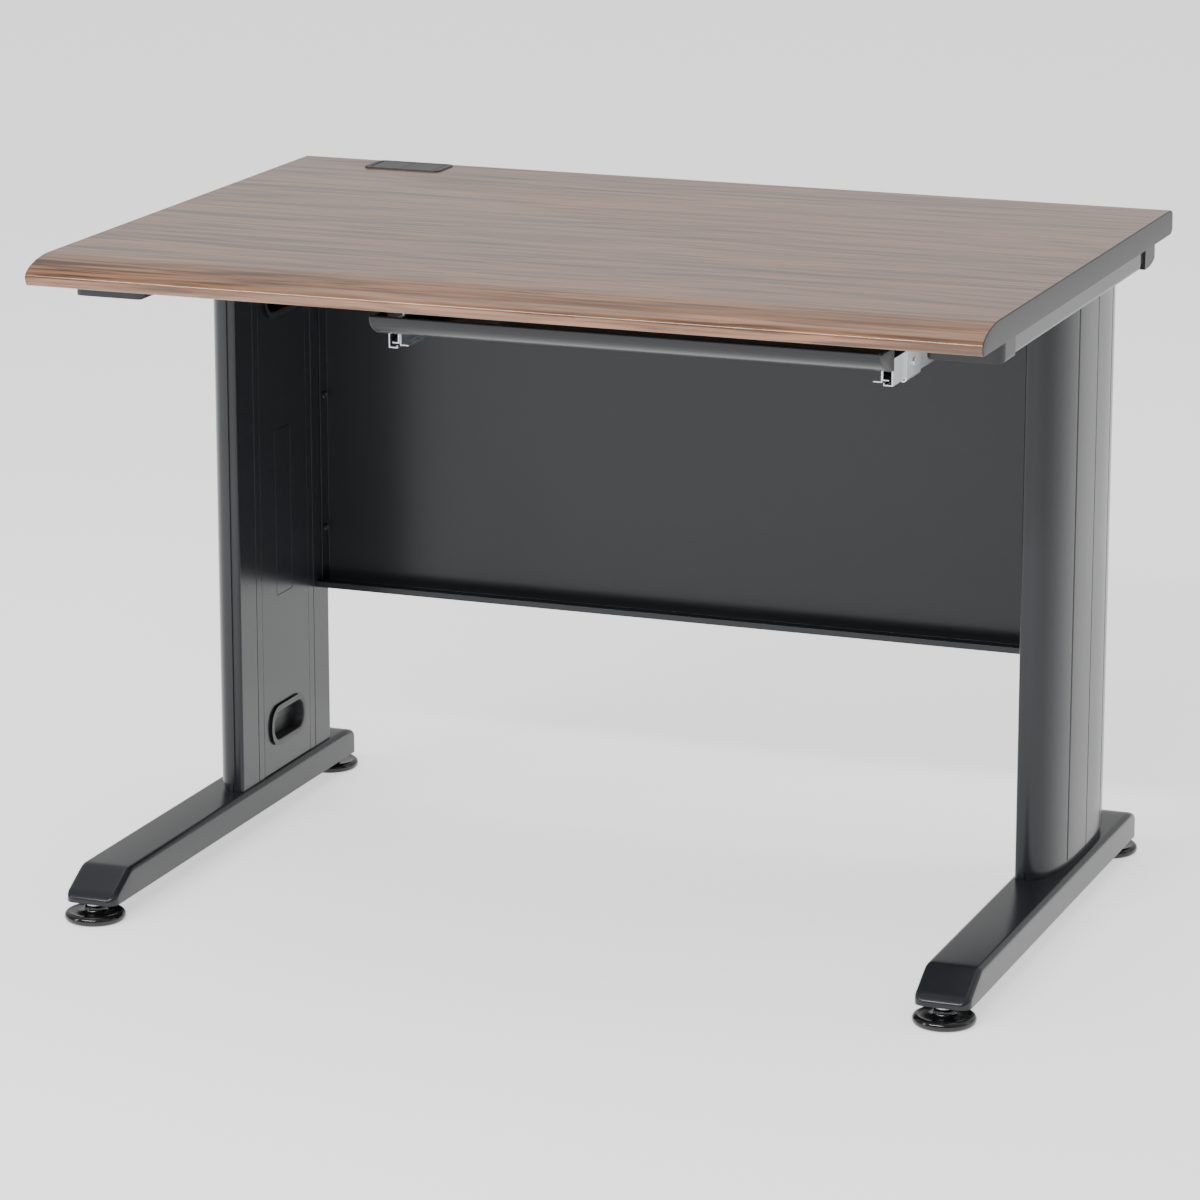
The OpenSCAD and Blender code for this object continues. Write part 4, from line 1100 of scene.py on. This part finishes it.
class DESK_OT_screws(bpy.types.Operator):
    """Make the pan-head screws with their cross recesses"""
    bl_idname = "desk.screws"
    bl_label = "Screws"

    def execute(self, context):
        for node, axis, head, finish in (("tabletop_screws", 2, 2.0 * MM, "zinc_plate"),
                                         ("bracket_screws", 2, 2.0 * MM, "zinc_plate"),
                                         ("modesty_screws", 0, 2.6 * MM, "powder_coat")):
            shape = Shape()
            for low, high in solids_of(node):
                self.screw(shape, low, high, axis, head)
            stand_in(shape, node.replace("screws", "pan_heads"), node, finish, 40)
        return {"FINISHED"}

    def screw(self, shape, low, high, axis, head):
        """A dome of quartic section with a cross pressed into it, a flat underside and a plain shank."""
        middle, half = (low + high) / 2, (high - low) / 2
        radius = half[(axis + 1) % 3]
        inward = 1.0 if axis == 2 or middle[axis] > 0 else -1.0
        r = radius * np.sin(np.radians(np.linspace(4, 90, 15)))[:, None]
        a = np.linspace(0, TAU, 40, endpoint=False)[None, :]
        u, v = r * np.cos(a), r * np.sin(a)
        reach, blade, sunk, shank = 0.56 * radius, 0.13 * radius, 0.55 * head, 0.5 * radius
        arm = np.minimum(np.clip((reach - np.maximum(np.abs(u), np.abs(v))) / (0.2 * radius), 0, 1),
                         np.clip((blade * 1.6 - np.minimum(np.abs(u), np.abs(v))) / blade, 0, 1))
        dome = head * (0.25 + 0.75 * (1 - (r / radius) ** 4) ** 0.5) - arm * sunk
        cap = np.stack([u, v, dome], -1)
        tail = 2 * half[axis] - head
        collar = [np.stack([q * np.cos(a[0]), q * np.sin(a[0]), np.full(a.size, h)], -1)
                  for q, h in ((radius, 0.0), (shank, 0.0), (shank, -tail))]
        rings = np.concatenate([cap, np.array(collar)])
        turn = [(1, 0, 0), (0, 1, 0), (0, 0, -1)]
        if axis == 0:
            turn = [(0, 1, 0), (0, 0, 1), (-inward, 0, 0)]
        origin = middle.copy()
        origin[axis] = (low if inward > 0 else high)[axis] + inward * head
        shape.loops(placed(rings, origin, turn))


# ---------- finishes on the carried-over nodes ----------

class DESK_OT_finishes(bpy.types.Operator):
    """Give every node of the frame its finish"""
    bl_idname = "desk.finishes"
    bl_label = "Finishes"

    def execute(self, context):
        made = finishes()
        starts = {
            "powder_coat_folded": ("leg_base", "leg_top", "leg_channel", "leg_cover", "top_arm",
                                   "modesty_panel"),
            "powder_coat": ("base_beam", "tray_pan", "leg_shell"),
            "moulded_cap": ("arm_cap", "outlet_lid"),
            "moulded_plastic": ("outlet_frame", "tray_end", "finger_pull", "cable_port"),
            "gloss_plastic": ("level_pad",),
            "edge_banding": ("edge_band",),
            "walnut_laminate": ("tabletop_board",),
            "zinc_passivated": ("slide_brackets",),
            "zinc_strip": ("slide_", "ball_cage", "tray_runner")}
        for node, held in frame["nodes"].items():
            fits = (name for name, start in starts.items() if node.startswith(start))
            name = next(fits, "zinc_plate")
            held.data.materials.clear()
            held.data.materials.append(made[name])
        return {"FINISHED"}


# ---------- the studio ----------

# Name, place, target, width, height and power of each softbox
LAMPS = (
    ("overhead", (-0.2, 0.6, 3.2), (0.0, 0.0, 0.6), 2.4, 1.6, 16.0),
    ("front_strip", (-0.6, -3.6, 3.0), (0.0, 0.0, 0.6), 3.6, 0.4, 170.0),
    ("right", (3.6, 1.2, 1.4), (0.3, 0.0, 0.4), 1.2, 2.4, 7.0),
    ("left", (-3.4, -2.6, 1.5), (-0.3, 0.0, 0.3), 0.5, 2.4, 34.0),
)


class DESK_OT_studio(bpy.types.Operator):
    """Make the pale floor, the soft light and the camera"""
    bl_idname = "desk.studio"
    bl_label = "Studio"

    def execute(self, context):
        studio = context.scene.desk_studio
        self.floor(context.scene.desk_colours)
        self.surround(context.scene, studio.sky)
        for lamp in LAMPS:
            self.softbox(*lamp)
        self.camera(context.scene, studio)
        return {"FINISHED"}

    def floor(self, tint):
        """A wide pale floor that glows a little, so that it ends nowhere."""
        paint = Shader("studio_floor", Specular_IOR_Level=0.0, Emission_Strength=1.1)
        cloud = paint.noise(0.6, 2.0)
        paint.set(Base_Color=paint.tones(cloud, tint.floor, 1.0, 1.01),
                  Emission_Color=tuple(tint.floor), Roughness=0.9)
        mesh = bpy.data.meshes.new("studio_floor")
        reach = 40.0
        corners = [(u * reach, v * reach, 0.0) for u, v in ((-1, -1), (1, -1), (1, 1), (-1, 1))]
        mesh.from_pydata(corners, [], [(0, 1, 2, 3)])
        mesh.materials.append(paint.material)
        linked("studio_floor", mesh)

    def surround(self, scene, strength):
        """Sky that is bright behind the desk and overhead, and dim on the camera's side."""
        world = bpy.data.worlds.new("surround")
        world.use_nodes = True
        tree = world.node_tree
        back = tree.nodes["Background"]
        way = tree.nodes.new("ShaderNodeTexCoord")
        toward = tree.nodes.new("ShaderNodeVectorMath")
        toward.operation = "DOT_PRODUCT"
        toward.inputs[1].default_value = (0.15, 0.75, 0.65)
        tree.links.new(way.outputs["Generated"], toward.inputs[0])
        spread = tree.nodes.new("ShaderNodeMapRange")
        for socket, number in zip(spread.inputs[1:5], (-0.35, 0.7, 0.2 * strength, strength)):
            socket.default_value = number
        tree.links.new(toward.outputs["Value"], spread.inputs[0])
        tree.links.new(spread.outputs[0], back.inputs["Strength"])
        back.inputs["Color"].default_value = (1.0, 1.0, 1.0, 1.0)
        scene.world = world

    def softbox(self, name, place, target, width, height, power):
        """A flat lamp that faces a target, its power in watts."""
        light = bpy.data.lights.new(name, "AREA")
        light.shape, light.size, light.size_y, light.energy = "RECTANGLE", width, height, power
        made = linked(name, light)
        made.location = place
        made.rotation_euler = (Vector(target) - Vector(place)).to_track_quat("-Z", "Y").to_euler()

    def camera(self, scene, studio):
        lens = bpy.data.cameras.new("camera")
        lens.lens, lens.sensor_width, lens.clip_end = studio.lens, 36.0, 100.0
        made = linked("camera", lens)
        made.location = studio.eye
        made.rotation_euler = (math.radians(90) - studio.tilt, 0.0, studio.turn)
        scene.camera = made


# ---------- sidebar and registration ----------

class DESK_PT_sidebar(bpy.types.Panel):
    """Steps and settings of the desk"""
    bl_idname = "DESK_PT_sidebar"
    bl_label = "Computer desk"
    bl_space_type = "VIEW_3D"
    bl_region_type = "UI"
    bl_category = "Desk"

    def draw(self, context):
        for step in STEPS:
            self.layout.operator(step.bl_idname)
        for group in (context.scene.desk_sizes, context.scene.desk_colours, context.scene.desk_studio):
            column = self.layout.column()
            for name in group.__annotations__:
                column.prop(group, name)


STEPS = (DESK_OT_worktop, DESK_OT_legs, DESK_OT_feet, DESK_OT_tray, DESK_OT_outlet, DESK_OT_screws,
         DESK_OT_finishes, DESK_OT_studio)
GROUPS = {"desk_sizes": DeskSizes, "desk_colours": DeskColours, "desk_studio": DeskStudio}


def register():
    for kind in (*GROUPS.values(), *STEPS, DESK_PT_sidebar):
        bpy.utils.register_class(kind)
    for name, kind in GROUPS.items():
        setattr(bpy.types.Scene, name, bpy.props.PointerProperty(type=kind))


def unregister():
    for name in GROUPS:
        delattr(bpy.types.Scene, name)
    for kind in reversed((*GROUPS.values(), *STEPS, DESK_PT_sidebar)):
        bpy.utils.unregister_class(kind)


def main():
    """Makes everything in order."""
    register()
    bpy.ops.desk.worktop()
    bpy.ops.desk.legs()
    bpy.ops.desk.feet()
    bpy.ops.desk.tray()
    bpy.ops.desk.outlet()
    bpy.ops.desk.screws()
    bpy.ops.desk.finishes()
    bpy.ops.desk.studio()


if __name__ == "__main__":
    main()
